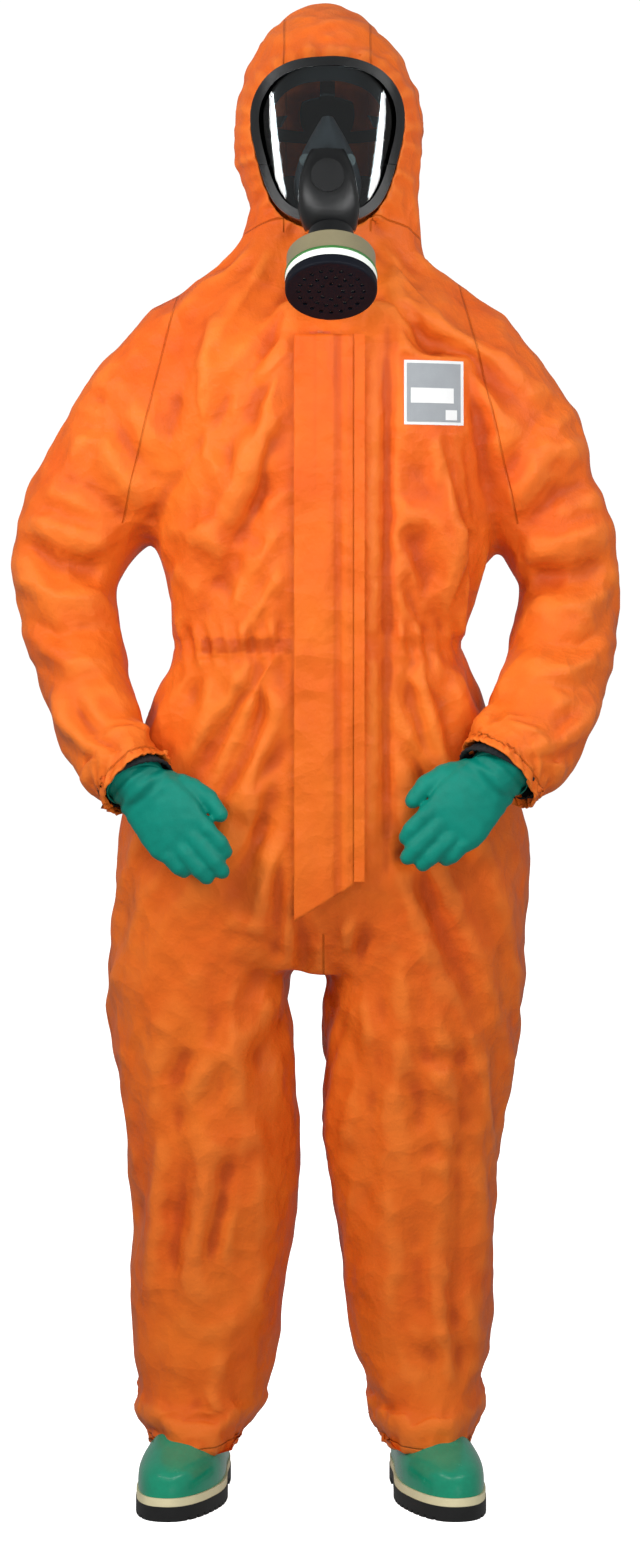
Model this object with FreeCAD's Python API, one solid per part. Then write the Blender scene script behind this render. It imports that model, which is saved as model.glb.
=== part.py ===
"""Chemical protective suit ensemble, in millimetres.

A hooded one-piece coverall stands as worn, with its zip and storm flap, elasticated hood, waist,
cuffs and ankles, a full-face respirator with a screw-in filter canister, gauntlet gloves and
safety boots. Nobody is inside, so every soft part is a hollow shell.

Frame: +Z up, origin on the floor at the centre of the footprint box, the suit faces -Y and the
wearer's left hand is at +X. Tables below are written about the wearer's own axis, and every
shape is moved back by BODY_SHIFT when it is saved.
"""

import FreeCAD, Part
import math
import os

V = FreeCAD.Vector
X, Y, Z = V(1, 0, 0), V(0, 1, 0), V(0, 0, 1)

# ---------------------------------------------------------------- driving dimensions
BODY_SHIFT = V(0.4, 50.74, 0.0)  # from the wearer's axis to the centre of the footprint box
WALL = 1.6  # laminated fabric, drawn thicker than the real 0.4
GAP = 0.8  # air between two neighbouring sewn pieces
OUTLINE_POINTS = 24
START_TURN = math.pi / 2  # outlines start at the back, which keeps their seams in line

CROTCH_Z = 670.0
WAIST_Z = 1070.0
NECK_Z = 1536.0
SIDE_SEAM_Y = 4.0  # front and back panels meet here

HEAD_X = 9.0  # the head leans a little to the wearer's left
CANISTER_X = 13.0

ZIP_TOP, ZIP_BOTTOM = 1418.0, 742.0
ZIP_HALF_SLOT = 13.0
ZIP_Y = -148.0  # plane of the zip's teeth
TOOTH_PITCH = 5.0
SLIDER_Z = 1398.0

FLAP_FREE_X, FLAP_SEWN_X = -31.0, 40.0
FLAP_TOP, FLAP_BOTTOM = 1414.0, 716.0
FLAP_Y = -158.4  # back face of the closed flap
FLAP_THICK = 1.4
FLAP_SLANT = 0.62  # its lower end rises towards the sewn edge

CANISTER_TILT = 55.0  # degrees below the horizontal
CANISTER_R = 54.0
CANISTER_LENGTH = 58.0
THREAD_R = 20.0  # standard 40 mm respirator thread
THREAD_LENGTH = 16.0

ELBOW_TURN = {"right": 20.0, "left": 0.0}  # degrees, so that a bent forearm passes the hip
PIVOT_OUT = 6.0  # from the sleeve to the line that the forearm bends about

# Horizontal outlines: height, lowest and highest x, front and back y, squareness.
TORSO = [
    (672, -262, 256, -120, 150, 2.4),
    (700, -262, 257, -136, 160, 2.5),
    (760, -257, 258, -147, 166, 2.6),
    (830, -249, 254, -148, 160, 2.6),
    (900, -232, 236, -148, 148, 2.6),
    (1000, -208, 200, -148, 128, 2.6),
    (1070, -184, 172, -147, 112, 2.6),
    (1130, -190, 196, -148, 118, 2.6),
    (1200, -203, 218, -148, 130, 2.7),
    (1300, -200, 212, -148, 138, 2.7),
    (1390, -192, 200, -146, 136, 2.6),
    (1440, -184, 190, -132, 126, 2.6),
    (1480, -178, 186, -110, 112, 2.5),
    (1504, -161, 167, -90, 100, 2.4),
    (1522, -124, 132, -77, 91, 2.3),
    (1536, -98, 107, -70, 86, 2.2),
]
HOOD = [
    (1537, -97, 107, -74, 88, 2.2),
    (1556, -87, 112, -78, 92, 2.2),
    (1574, -83, 115, -84, 97, 2.2),
    (1600, -90, 120, -92, 107, 2.2),
    (1640, -107, 127, -101, 121, 2.3),
    (1680, -108, 130, -106, 130, 2.3),
    (1720, -103, 123, -108, 133, 2.2),
    (1760, -88, 105, -97, 126, 2.1),
    (1790, -70, 82, -75, 106, 2.0),
    (1814, -45, 56, -42, 78, 2.0),
    (1829, -14, 26, -8, 44, 2.0),
]
# Legs: front and back height of the outline, then as above.
LEGS = {
    "right": [
        (669, 669, -262, -38, -117, 148, 2.4),
        (560, 560, -258, -32, -113, 124, 2.3),
        (470, 470, -240, -27, -110, 106, 2.2),
        (368, 368, -233, -30, -105, 99, 2.2),
        (258, 258, -236, -45, -98, 99, 2.2),
        (171, 168, -233, -56, -98, 104, 2.2),
        (122, 105, -229, -68, -108, 110, 2.2),
        (101, 76, -221, -84, -118, 114, 2.2),
        (90, 60, -215, -94, -122, 114, 2.2),
    ],
    "left": [
        (669, 669, 8, 257, -117, 148, 2.4),
        (560, 560, -2, 248, -113, 124, 2.3),
        (470, 470, -3, 228, -110, 106, 2.2),
        (400, 400, 12, 221, -107, 100, 2.2),
        (300, 300, 27, 217, -100, 98, 2.2),
        (200, 198, 41, 213, -97, 102, 2.2),
        (122, 105, 58, 204, -108, 110, 2.2),
        (101, 76, 64, 196, -118, 114, 2.2),
        (90, 60, 70, 190, -122, 114, 2.2),
    ],
}
# Sleeves: outer edge x and z, inner edge x and z, middle y, half depth front to back.
SLEEVES = {
    "right": [
        (-166, 1500, -201, 1196, 12, 98),
        (-218, 1470, -206, 1192, 10, 95),
        (-273, 1411, -212, 1186, 8, 88),
        (-322, 1324, -220, 1180, 8, 80),
        (-360, 1250, -232, 1166, 8, 73),
        (-377, 1175, -247, 1141, 8, 68),
        (-374, 1116, -250, 1112, 0, 64),
        (-345, 1015, -233, 1030, -46, 58),
        (-317, 934, -213, 964, -97, 54),
        (-291, 884, -194, 926, -141, 51),
        (-268, 862, -174, 906, -160, 50),
    ],
    "left": [
        (172, 1500, 217, 1184, 12, 98),
        (226, 1466, 220, 1182, 10, 95),
        (278, 1416, 223, 1178, 8, 88),
        (323, 1336, 229, 1168, 8, 80),
        (352, 1240, 238, 1150, 8, 73),
        (375, 1160, 248, 1130, 8, 69),
        (375, 1108, 242, 1102, 0, 66),
        (352, 1022, 224, 1040, -52, 61),
        (320, 940, 197, 985, -114, 57),
        (292, 888, 182, 950, -157, 54),
        (265, 868, 164, 924, -174, 51),
    ],
}
UPPER_SECTIONS = 6  # the first sections of a sleeve are the upper sleeve

# Right half of the mask's outline seen from the front, about HEAD_X: x and z.
MASK_HALF = [
    (0, 1742),
    (40, 1738),
    (72, 1722),
    (90, 1694),
    (92, 1664),
    (84, 1626),
    (72, 1588),
    (56, 1563),
    (30, 1549),
    (0, 1546),
]
LENS_A, LENS_B, LENS_Y = 99.0, 86.0, -62.0  # the lens's elliptic bend
MASK_SPLIT_Z = 1618.0  # the frame's two halves meet here

# Boot outlines: height, toe, heel, half width, how much the heel narrows.
BOOT = [
    (28.2, -148, 144, 51, 1.0),
    (45, -147, 143, 52, 1.0),
    (58, -138, 140, 49, 0.9),
    (68, -112, 137, 45, 0.7),
    (79, -78, 134, 41, 0.5),
    (90, -57, 131, 40, 0.35),
    (105, -38, 128, 40, 0.2),
    (125, -22, 124, 42, 0.1),
    (155, -12, 119, 45, 0.0),
    (210, -8, 114, 49, 0.0),
    (290, -10, 112, 53, 0.0),
]
BOOT_PLACE = {"right": (-160.0, -37.0, -11.0), "left": (137.0, -37.0, 12.0)}
BOOT_WALL = 3.0
SOLE_LOW, SOLE_HIGH, WELT_HIGH = 0.0, 18.0, 28.0

# Gloves: fingertip direction point and thumb side, from the cuff's centre.
HAND = {
    "right": {"tip": V(90, -30, -104), "thumb": V(0.731, 0, 0.633)},
    "left": {"tip": V(-104, -30, -108), "thumb": V(-0.72, 0, 0.69)},
}
GAUNTLET_R = 36.0
GAUNTLET_LENGTH = 72.0
GLOVE_WALL = 1.2
FINGERS = [(26, 84, 66), (9, 90, 74), (-9, 88, 68), (-26, 80, 52)]  # side, root, length
FINGER_R = 10.5


# ---------------------------------------------------------------- outlines and skins
def smooth_loop(points):
    """A closed smooth wire through the points."""
    curve = Part.BSplineCurve()
    curve.interpolate(Points=points, PeriodicFlag=True)
    return Part.Wire([curve.toShape()])


def power_of(value, exponent):
    return math.copysign(abs(value) ** exponent, value)


def oval(section, inset=0.0):
    """Points round a section, which is (centre, u, v, half u, half v, squareness)."""
    centre, u, v, half_u, half_v, square = section
    points = []
    for i in range(OUTLINE_POINTS):
        t = 2 * math.pi * i / OUTLINE_POINTS + START_TURN
        along_u = (half_u - inset) * power_of(math.cos(t), 2 / square)
        along_v = (half_v - inset) * power_of(math.sin(t), 2 / square)
        points.append(centre + u * along_u + v * along_v)
    return points


def outward(row):
    """Moves each point out a little, so that a cubic curve steered by them meets the originals."""
    around = zip(row[-1:] + row[:-1], row, row[1:] + row[:1])
    return [point - (before - point * 2 + after) * (1 / 6) for before, point, after in around]


def skin(rows):
    """A smooth closed side face that follows the rows of points."""
    rows = [outward(row) for row in rows]
    count, levels = len(rows[0]), len(rows)
    degree = min(3, levels - 1)
    inner = levels - degree - 1
    surface = Part.BSplineSurface()
    surface.buildFromPolesMultsKnots(
        [[row[i] for row in rows] for i in range(count)],
        [1] * (count + 1),
        [degree + 1] + [1] * inner + [degree + 1],
        [float(i) for i in range(count + 1)],
        [float(i) for i in range(inner + 2)],
        True,
        False,
        3,
        degree,
    )
    return surface.toShape()


def end_wires(side, rows):
    """The closed end edges of a skin, first row first."""
    rims = [e for e in side.Edges if e.Closed]
    rims.sort(key=lambda e: e.CenterOfMass.distanceToPoint(middle_of(rows[0])))
    return Part.Wire([rims[0]]), Part.Wire([rims[-1]])


def middle_of(row):
    total = V(0, 0, 0)
    for point in row:
        total += point
    return total * (1 / len(row))


def sewn(faces):
    shell_of = Part.makeShell(faces)
    shell_of.sewShape()
    solid = Part.makeSolid(Part.Shell(shell_of.Faces))
    if solid.Volume < 0:
        solid.reverse()
    return solid


def lofted(rows):
    """A solid skinned through rows of points and closed flat at both ends."""
    side = skin(rows)
    return sewn([side] + [Part.Face(wire) for wire in end_wires(side, rows)])


def filled(sections, inset=0.0, open_start=False, open_end=False):
    """A closed solid through the sections, inset all round and longer at open ends."""
    row = list(sections)
    if open_start:
        row.insert(0, ahead_of(row[0], (row[0][0] - row[1][0]).normalize()))
    if open_end:
        row.append(ahead_of(row[-1], (row[-1][0] - row[-2][0]).normalize()))
    return lofted([oval(s, inset) for s in row])


def shell(sections, wall=WALL, outset=0.0):
    """A tube of that wall thickness, open at both ends."""
    outer_rows = [oval(s, -outset) for s in sections]
    inner_rows = [oval(s, wall - outset) for s in sections]
    outer, inner = skin(outer_rows), skin(inner_rows)
    rims = zip(end_wires(outer, outer_rows), end_wires(inner, inner_rows))
    ends = [Part.Face(big).cut(Part.Face(small)) for big, small in rims]
    faces = [outer, inner]
    for end in ends:
        faces += end.Faces
    return sewn(faces)


def level_sections(table):
    """Sections of a table of horizontal outlines."""
    made = []
    for z, x_low, x_high, front, back, square in table:
        centre = V((x_low + x_high) / 2, (front + back) / 2, z)
        made.append((centre, X, Y, (x_high - x_low) / 2, (back - front) / 2, square))
    return made


def leg_sections(table):
    made = []
    for z_front, z_back, x_low, x_high, front, back, square in table:
        depth = V(0, back - front, z_back - z_front)
        centre = V((x_low + x_high) / 2, (front + back) / 2, (z_front + z_back) / 2)
        v = V(depth).normalize()
        made.append((centre, X, v, (x_high - x_low) / 2, depth.Length / 2, square))
    return made


def sleeve_sections(table):
    """Sections that fan round the armpit and turn to follow the arm."""
    middles = [V((xo + xi) / 2, y, (zo + zi) / 2) for xo, zo, xi, zi, y, _ in table]
    made = []
    for i, (x_out, z_out, x_in, z_in, _, depth) in enumerate(table):
        span = V(x_out - x_in, 0, z_out - z_in)
        u = V(span).normalize()
        if i < UPPER_SECTIONS:
            v = V(Y)
        else:
            ahead = middles[min(i + 1, len(table) - 1)] - middles[i - 1]
            v = ahead.cross(u).normalize()
            v = v if v.dot(Y) > 0 else -v
        made.append((middles[i], u, v, span.Length / 2, depth, 2.15))
    return made


def ahead_of(section, way, distance=6.0):
    """The same section moved past the end of the row, so that a bore opens."""
    centre, u, v, half_u, half_v, square = section
    return (centre + way * distance, u, v, half_u, half_v, square)


def side_of(point, normal, size=2400.0):
    """A large block that fills the space behind the plane."""
    space = Part.makeBox(size, size, size, V(-size / 2, -size / 2, -size))
    space.Placement = FreeCAD.Placement(point, FreeCAD.Rotation(Z, normal))
    return space


def block(low, high):
    return Part.makeBox(high[0] - low[0], high[1] - low[1], high[2] - low[2], V(*low))


def prism(points, y_low, y_high):
    """The outline of x and z points, extruded along Y."""
    loop = smooth_loop([V(x, y_low, z) for x, z in points])
    return Part.Face(loop).extrude(V(0, y_high - y_low, 0))


def rod(start, end, radius):
    return Part.makeCylinder(radius, (end - start).Length, start, end - start)


def disc_ring(centre, axis, r_out, r_in, thickness):
    """A flat ring that starts at centre and grows along axis."""
    ring = Part.makeCylinder(r_out, thickness, centre, axis)
    return ring.cut(Part.makeCylinder(r_in, thickness, centre, axis))


PARTS = {}


def keep(name, shape):
    """Files a sub-part: its solids, as one shape."""
    solids = shape.Solids
    if not solids:
        raise ValueError(f"{name} came out empty")
    PARTS[name] = solids[0] if len(solids) == 1 else Part.makeCompound(solids)
    return PARTS[name]


# ---------------------------------------------------------------- coverall
def armhole(side):
    """A point on the armhole plane, and its normal towards the arm."""
    x_top, z_top, x_low, z_low = SLEEVES[side][0][:4]
    along = V(x_top - x_low, 0, z_top - z_low).normalize()
    normal = along.cross(Y)
    outward = -1 if side == "right" else 1
    return V(x_top, 0, z_top), normal if normal.x * outward > 0 else -normal


def armhole_cutter(side):
    """Everything past the armhole plane, and the oval opening into the sleeve."""
    point, normal = armhole(side)
    x_top, z_top, x_low, z_low, y, depth = SLEEVES[side][0]
    beyond = side_of(point - normal * GAP, -normal)
    beyond = beyond.common(block((-600, -400, z_low - 2), (600, 400, 1700)))
    hole = Part.makeCylinder(1.0, 120)
    matrix = FreeCAD.Matrix()
    matrix.scale(0.90 * depth, 0.45 * (z_top - z_low), 1)
    hole = hole.transformGeometry(matrix)
    middle = V((x_top + x_low) / 2, y, (z_top + z_low) / 2)
    turn = FreeCAD.Rotation(Y, Z, normal, "ZYX")
    hole.Placement = FreeCAD.Placement(middle - normal * 60, turn)
    return beyond.fuse(hole)


def make_torso():
    sections = level_sections(TORSO)
    body = shell(sections)
    for side in ("right", "left"):
        body = body.cut(armhole_cutter(side))
    front = body.common(block((-600, -400, 500), (600, SIDE_SEAM_Y - GAP / 2, 1700)))
    back = body.common(block((-600, SIDE_SEAM_Y + GAP / 2, 500), (600, 400, 1700)))
    slot = block(
        (-ZIP_HALF_SLOT, -400, ZIP_BOTTOM - 6), (ZIP_HALF_SLOT, SIDE_SEAM_Y, ZIP_TOP + 6)
    )
    front = front.cut(slot)
    seam = GAP / 2
    lower_half = block((-600, -400, 500), (-seam, 400, 1700))
    keep("front_panel_right", front.common(lower_half))
    keep("front_panel_left", front.common(block((seam, -400, 500), (600, 400, 1700))))
    keep("back_panel", back.common(block((-600, 0, WAIST_Z + seam), (600, 400, 1700))))
    keep("seat_panel", back.common(block((-600, 0, 500), (600, 400, WAIST_Z - seam))))

    channel = shell(sections, 1.6, outset=-(WALL + GAP))
    channel = channel.common(block((-600, -60, WAIST_Z - 12), (600, 400, WAIST_Z + 12)))
    keep("waist_elastic", channel)


def make_gusset():
    """The diamond of cloth that closes the crotch between the legs."""
    floor = filled(level_sections(TORSO)[:2], WALL + 2)
    floor = floor.common(block((-80, -400, CROTCH_Z + 3), (60, 400, CROTCH_Z + 3 + WALL)))
    for side in ("right", "left"):
        top = leg_sections(LEGS[side])[0]
        centre, u, v, half_u, half_v, square = top
        hole = oval((V(centre.x, centre.y, 600), u, v, half_u - 5, half_v - 5, square))
        floor = floor.cut(slab(hole, 200))
    keep("crotch_gusset", floor)


def make_leg(side):
    sections = leg_sections(LEGS[side])
    keep(f"trouser_leg_{side}", shell(sections))
    hem = sections[-1][0] + V(0, 0, 9)
    band = shell(sections, 2.2, outset=-(WALL + GAP))
    keep(f"ankle_elastic_{side}", band.common(side_of(hem, sections[-1][1].cross(sections[-1][2]))))


def elbow(side):
    """The elbow seam: a point on its plane, the plane's normal down the arm, and the hinge.

    The forearm bends about a line in that plane which touches the sleeve on the inside of the
    bend, so bending only opens the seam.
    """
    sections = sleeve_sections(SLEEVES[side])
    above, below = sections[UPPER_SECTIONS - 1], sections[UPPER_SECTIONS]
    wrist = sections[-1][0]
    centre = (above[0] + below[0]) / 2
    u = (above[1] + below[1]).normalize()
    normal = u.cross(Y)
    normal = normal if normal.z < 0 else -normal
    forearm = (wrist - centre).normalize()
    upper = (centre - sections[2][0]).normalize()
    axis = upper.cross(forearm)
    axis = (axis - normal * axis.dot(normal)).normalize()
    axis = FreeCAD.Rotation(normal, ELBOW_TURN[side]).multVec(axis)
    clear = axis.cross(normal)  # turning about the axis drops what is on this side
    clear = clear if axis.cross(clear).dot(normal) > 0 else -clear
    half_u = max(above[3], below[3]) + 1
    half_v = max(above[4], below[4]) + 1
    reach = math.hypot(half_u * clear.dot(u), half_v * clear.dot(Y))
    return centre, normal, axis, centre - clear * (reach + PIVOT_OUT)


def make_sleeve(side):
    sections = sleeve_sections(SLEEVES[side])
    whole = shell(sections)
    point, normal, _, _ = elbow(side)
    shoulder_point, shoulder_normal = armhole(side)
    upper = whole.common(side_of(point - normal * GAP / 2, normal))
    upper = upper.common(side_of(shoulder_point, -shoulder_normal))
    keep(f"upper_sleeve_{side}", upper)
    keep(f"fore_sleeve_{side}", whole.common(side_of(point + normal * GAP / 2, -normal)))
    hem = sections[-1]
    way = (hem[0] - sections[-2][0]).normalize()
    lining = shell(sections[:-1] + [hem, ahead_of(hem, way, 3.0)], 3.0, outset=-(WALL + GAP))
    keep(f"cuff_elastic_{side}", lining.common(side_of(hem[0] - way * 14, -way)))


# ---------------------------------------------------------------- zip and storm flap
def comb(side):
    """One half of the zip chain: a spine with teeth that reach past the middle."""
    count = int((ZIP_TOP - ZIP_BOTTOM - 12) / TOOTH_PITCH)
    offset = 0.0 if side > 0 else TOOTH_PITCH / 2
    z = ZIP_BOTTOM + 4 + offset
    points = [V(side * 3.0, 0, ZIP_BOTTOM + 2), V(side * 1.3, 0, ZIP_BOTTOM + 2)]
    for _ in range(count):
        points += [
            V(side * 1.3, 0, z),
            V(-side * 1.0, 0, z + 0.25),
            V(-side * 1.0, 0, z + 1.95),
            V(side * 1.3, 0, z + 2.2),
        ]
        z += TOOTH_PITCH
    points += [V(side * 1.3, 0, ZIP_TOP - 3), V(side * 3.0, 0, ZIP_TOP - 3)]
    points.append(points[0])
    face = Part.Face(Part.makePolygon(points))
    solid = face.extrude(V(0, 2.4, 0))
    solid.translate(V(0, ZIP_Y - 1.2, 0))
    return solid


def make_zip():
    for side, name in ((-1, "right"), (1, "left")):
        low, high = sorted((side * 3.2, side * (ZIP_HALF_SLOT - 0.5)))
        tape = block((low, ZIP_Y - 0.5, ZIP_BOTTOM), (high, ZIP_Y + 0.5, ZIP_TOP))
        keep(f"zip_tape_{name}", tape)
        keep(f"zip_teeth_{name}", comb(side))
    stops = [
        block((-3.0, ZIP_Y - 1.8, z), (3.0, ZIP_Y + 1.8, z + 2.6))
        for z in (ZIP_BOTTOM - 1.4, ZIP_TOP - 1.8)
    ]
    keep("zip_stops", Part.makeCompound(stops))

    plate = smooth_loop(
        [
            V(x, 0, z)
            for x, z in ((0, -9), (4.6, -7.5), (5.6, 0), (6.4, 7), (3.0, 9), (-3.0, 9), (-6.4, 7))
        ]
        + [V(-5.6, 0, 0), V(-4.6, 0, -7.5)]
    )
    body = Part.Face(plate).extrude(V(0, 5.2, 0))
    body.translate(V(0, ZIP_Y - 2.6, SLIDER_Z))
    channel = block((-3.4, ZIP_Y - 1.6, SLIDER_Z - 20), (3.4, ZIP_Y + 1.6, SLIDER_Z + 20))
    slot = block((-20, ZIP_Y - 0.9, SLIDER_Z - 20), (20, ZIP_Y + 0.9, SLIDER_Z + 20))
    body = body.cut(channel).cut(slot)
    bridge = block((-1.6, ZIP_Y - 6.4, SLIDER_Z - 5), (1.6, ZIP_Y - 2.4, SLIDER_Z + 5))
    bridge = bridge.cut(block((-3, ZIP_Y - 5.6, SLIDER_Z - 4.0), (3, ZIP_Y - 2.5, SLIDER_Z + 1.1)))
    keep("zip_slider", body.fuse(bridge))

    tab = block((-4.2, ZIP_Y - 4.9, SLIDER_Z - 33), (4.2, ZIP_Y - 3.5, SLIDER_Z + 0.7))
    tab = tab.cut(block((-2.0, ZIP_Y - 8, SLIDER_Z - 0.9), (2.0, ZIP_Y, SLIDER_Z + 5)))
    tab = tab.cut(block((-2.0, ZIP_Y - 8, SLIDER_Z - 9), (2.0, ZIP_Y, SLIDER_Z - 3.4)))
    tab = tab.cut(rod(V(0, ZIP_Y - 9, SLIDER_Z - 27), V(0, ZIP_Y + 2, SLIDER_Z - 27), 2.4))
    keep("zip_pull_tab", tab)


def make_flap():
    front = FLAP_Y - FLAP_THICK
    flap = block((FLAP_FREE_X, front, FLAP_BOTTOM), (FLAP_SEWN_X, FLAP_Y, FLAP_TOP))
    flap = flap.common(side_of(V(FLAP_FREE_X, 0, FLAP_BOTTOM), V(FLAP_SLANT, 0, -1)))
    keep("storm_flap", flap)
    strip = block(
        (FLAP_FREE_X + 3, FLAP_Y + 0.05, FLAP_BOTTOM + 40),
        (FLAP_FREE_X + 15, FLAP_Y + 0.65, FLAP_TOP - 12),
    )
    keep("flap_adhesive_tape", strip)
    seam = block(
        (FLAP_SEWN_X + 0.5, front, FLAP_BOTTOM + 48), (FLAP_SEWN_X + 13, -150.2, FLAP_TOP)
    )
    keep("flap_seam_strip", seam)


def make_label():
    """The square chest label, sewn on the wearer's left."""
    plate = block((101, -160, 1312), (174, -100, 1388))
    over = filled(level_sections(TORSO), -1.5).cut(filled(level_sections(TORSO), -0.7))
    keep("chest_label", over.common(plate))


# ---------------------------------------------------------------- hood
def mask_outline(inset):
    """The mask's closed outline, moved in by about that much."""
    low, high = MASK_HALF[-1][1], MASK_HALF[0][1]
    middle = (low + high) / 2
    half = (high - low) / 2
    widest = max(x for x, _ in MASK_HALF)
    shrink_x, shrink_z = (widest - inset) / widest, (half - inset) / half
    right = [(x * shrink_x, middle + (z - middle) * shrink_z) for x, z in MASK_HALF]
    left = [(-x, z) for x, z in reversed(right[1:-1])]
    return [(HEAD_X + x, z) for x, z in right + left]


def make_hood():
    sections = level_sections(HOOD)
    hood = filled(sections).cut(filled(sections, WALL, True, False).common(
        block((-600, -600, 1500), (600, 600, HOOD[-1][0] - WALL))
    ))
    hood = hood.cut(prism(mask_outline(-2.2), -300, -20))
    seam, panel = GAP / 2, 52.0
    for name, x_low, x_high in (
        ("hood_centre_panel", HEAD_X - panel + seam, HEAD_X + panel - seam),
        ("hood_side_panel_right", -600, HEAD_X - panel - seam),
        ("hood_side_panel_left", HEAD_X + panel + seam, 600),
    ):
        keep(name, hood.common(block((x_low, -400, 1400), (x_high, 400, 1900))))
    rim = filled(sections, WALL + GAP).cut(filled(sections, WALL + GAP + 2.6))
    rim = rim.common(prism(mask_outline(-8.5), -300, -20)).cut(prism(mask_outline(-2.2), -310, -10))
    keep("hood_face_elastic", rim)


# ---------------------------------------------------------------- respirator
def bend(outset, grow=0.0, y=LENS_Y):
    """The upright elliptic cylinder that the lens is bent to."""
    centre = V(HEAD_X, y, 1500)
    a, b = LENS_A + outset, LENS_B + outset + grow
    if a >= b:
        ellipse = Part.Ellipse(centre, a, b)
    else:
        ellipse = Part.Ellipse(centre + Y * b, centre + X * a, centre)
    return Part.Face(Part.Wire([ellipse.toShape()])).extrude(V(0, 0, 300))


def front_only(shape):
    return shape.common(block((-300, -400, 1400), (300, -46, 1900)))


def make_mask():
    lens_shell = bend(0).cut(bend(-2.6))
    lens = front_only(lens_shell.common(prism(mask_outline(6.5), -400, -30)))
    port = rod(V(HEAD_X, -400, 1596), V(HEAD_X, -60, 1596), 27.0)
    keep("visor_lens", lens.cut(port))

    ring = prism(mask_outline(0.0), -400, -30).cut(prism(mask_outline(10.5), -410, -20))
    frame = front_only(bend(4.0).cut(bend(-5.5)).common(ring))
    groove = bend(0.25).cut(bend(-2.85)).common(prism(mask_outline(6.2), -410, -20))
    frame = frame.cut(groove)
    split = MASK_SPLIT_Z
    keep("visor_frame_upper", frame.common(block((-300, -400, split + 0.3), (300, 0, 1900))))
    keep("visor_frame_lower", frame.common(block((-300, -400, 1400), (300, 0, split - 0.3))))

    face = bend(-13.0, 0.0, LENS_Y + 30)
    skirt = prism(mask_outline(2.5), -400, -20).cut(prism(mask_outline(5.5), -410, -10))
    skirt = skirt.common(bend(-6.0)).cut(bend(-15.5, 0.0, LENS_Y + 30))
    lip = face.cut(bend(-15.5, 0.0, LENS_Y + 30))
    lip = lip.common(prism(mask_outline(2.5), -400, -20).cut(prism(mask_outline(23), -410, -10)))
    both = front_only(skirt).fuse(lip.common(block((-300, -400, 1400), (300, -20, 1900))))
    keep("face_seal", both)

    cup = [
        (V(HEAD_X, -92, 1579), X, Y, 38, 28, 2.2),
        (V(HEAD_X, -91, 1593), X, Y, 42, 32, 2.2),
        (V(HEAD_X, -91, 1614), X, Y, 39, 32, 2.2),
        (V(HEAD_X, -92, 1637), X, Y, 30, 33, 2.1),
        (V(HEAD_X, -94, 1660), X, Y, 17, 28, 2.0),
        (V(HEAD_X, -96, 1676), X, Y, 7, 20, 2.0),
    ]
    middle = (cup[0][0].z + cup[-1][0].z) / 2
    hollow = [(V(row[0].x, row[0].y, middle + 0.95 * (row[0].z - middle)),) + row[1:] for row in cup]
    nose = filled(cup).cut(filled(hollow, 2.0))
    nose = nose.common(block((-300, -400, 1400), (300, -84, 1900)))
    inlet = rod(V(HEAD_X, -140, 1601), V(HEAD_X, -100, 1601), 14.0)
    nose = nose.cut(inlet)
    for s in (-1, 1):
        port_at = V(HEAD_X + s * 26, -170, 1622)
        nose = nose.cut(rod(port_at, port_at + Y * 76, 6.0))
    keep("inner_mask", nose)
    discs = []
    for s in (-1, 1):
        at = V(HEAD_X + s * 26, -124.0, 1622)
        discs.append(Part.makeCylinder(7.5, 0.8, at - Y * 6, Y))
    keep("inhalation_valve_discs", Part.makeCompound(discs))
    return frame


def canister_axis():
    """The face centre of the canister and the way that it points."""
    tilt = math.radians(CANISTER_TILT)
    way = V(0, -math.cos(tilt), -math.sin(tilt))
    return V(CANISTER_X, -222, 1459), way


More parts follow.
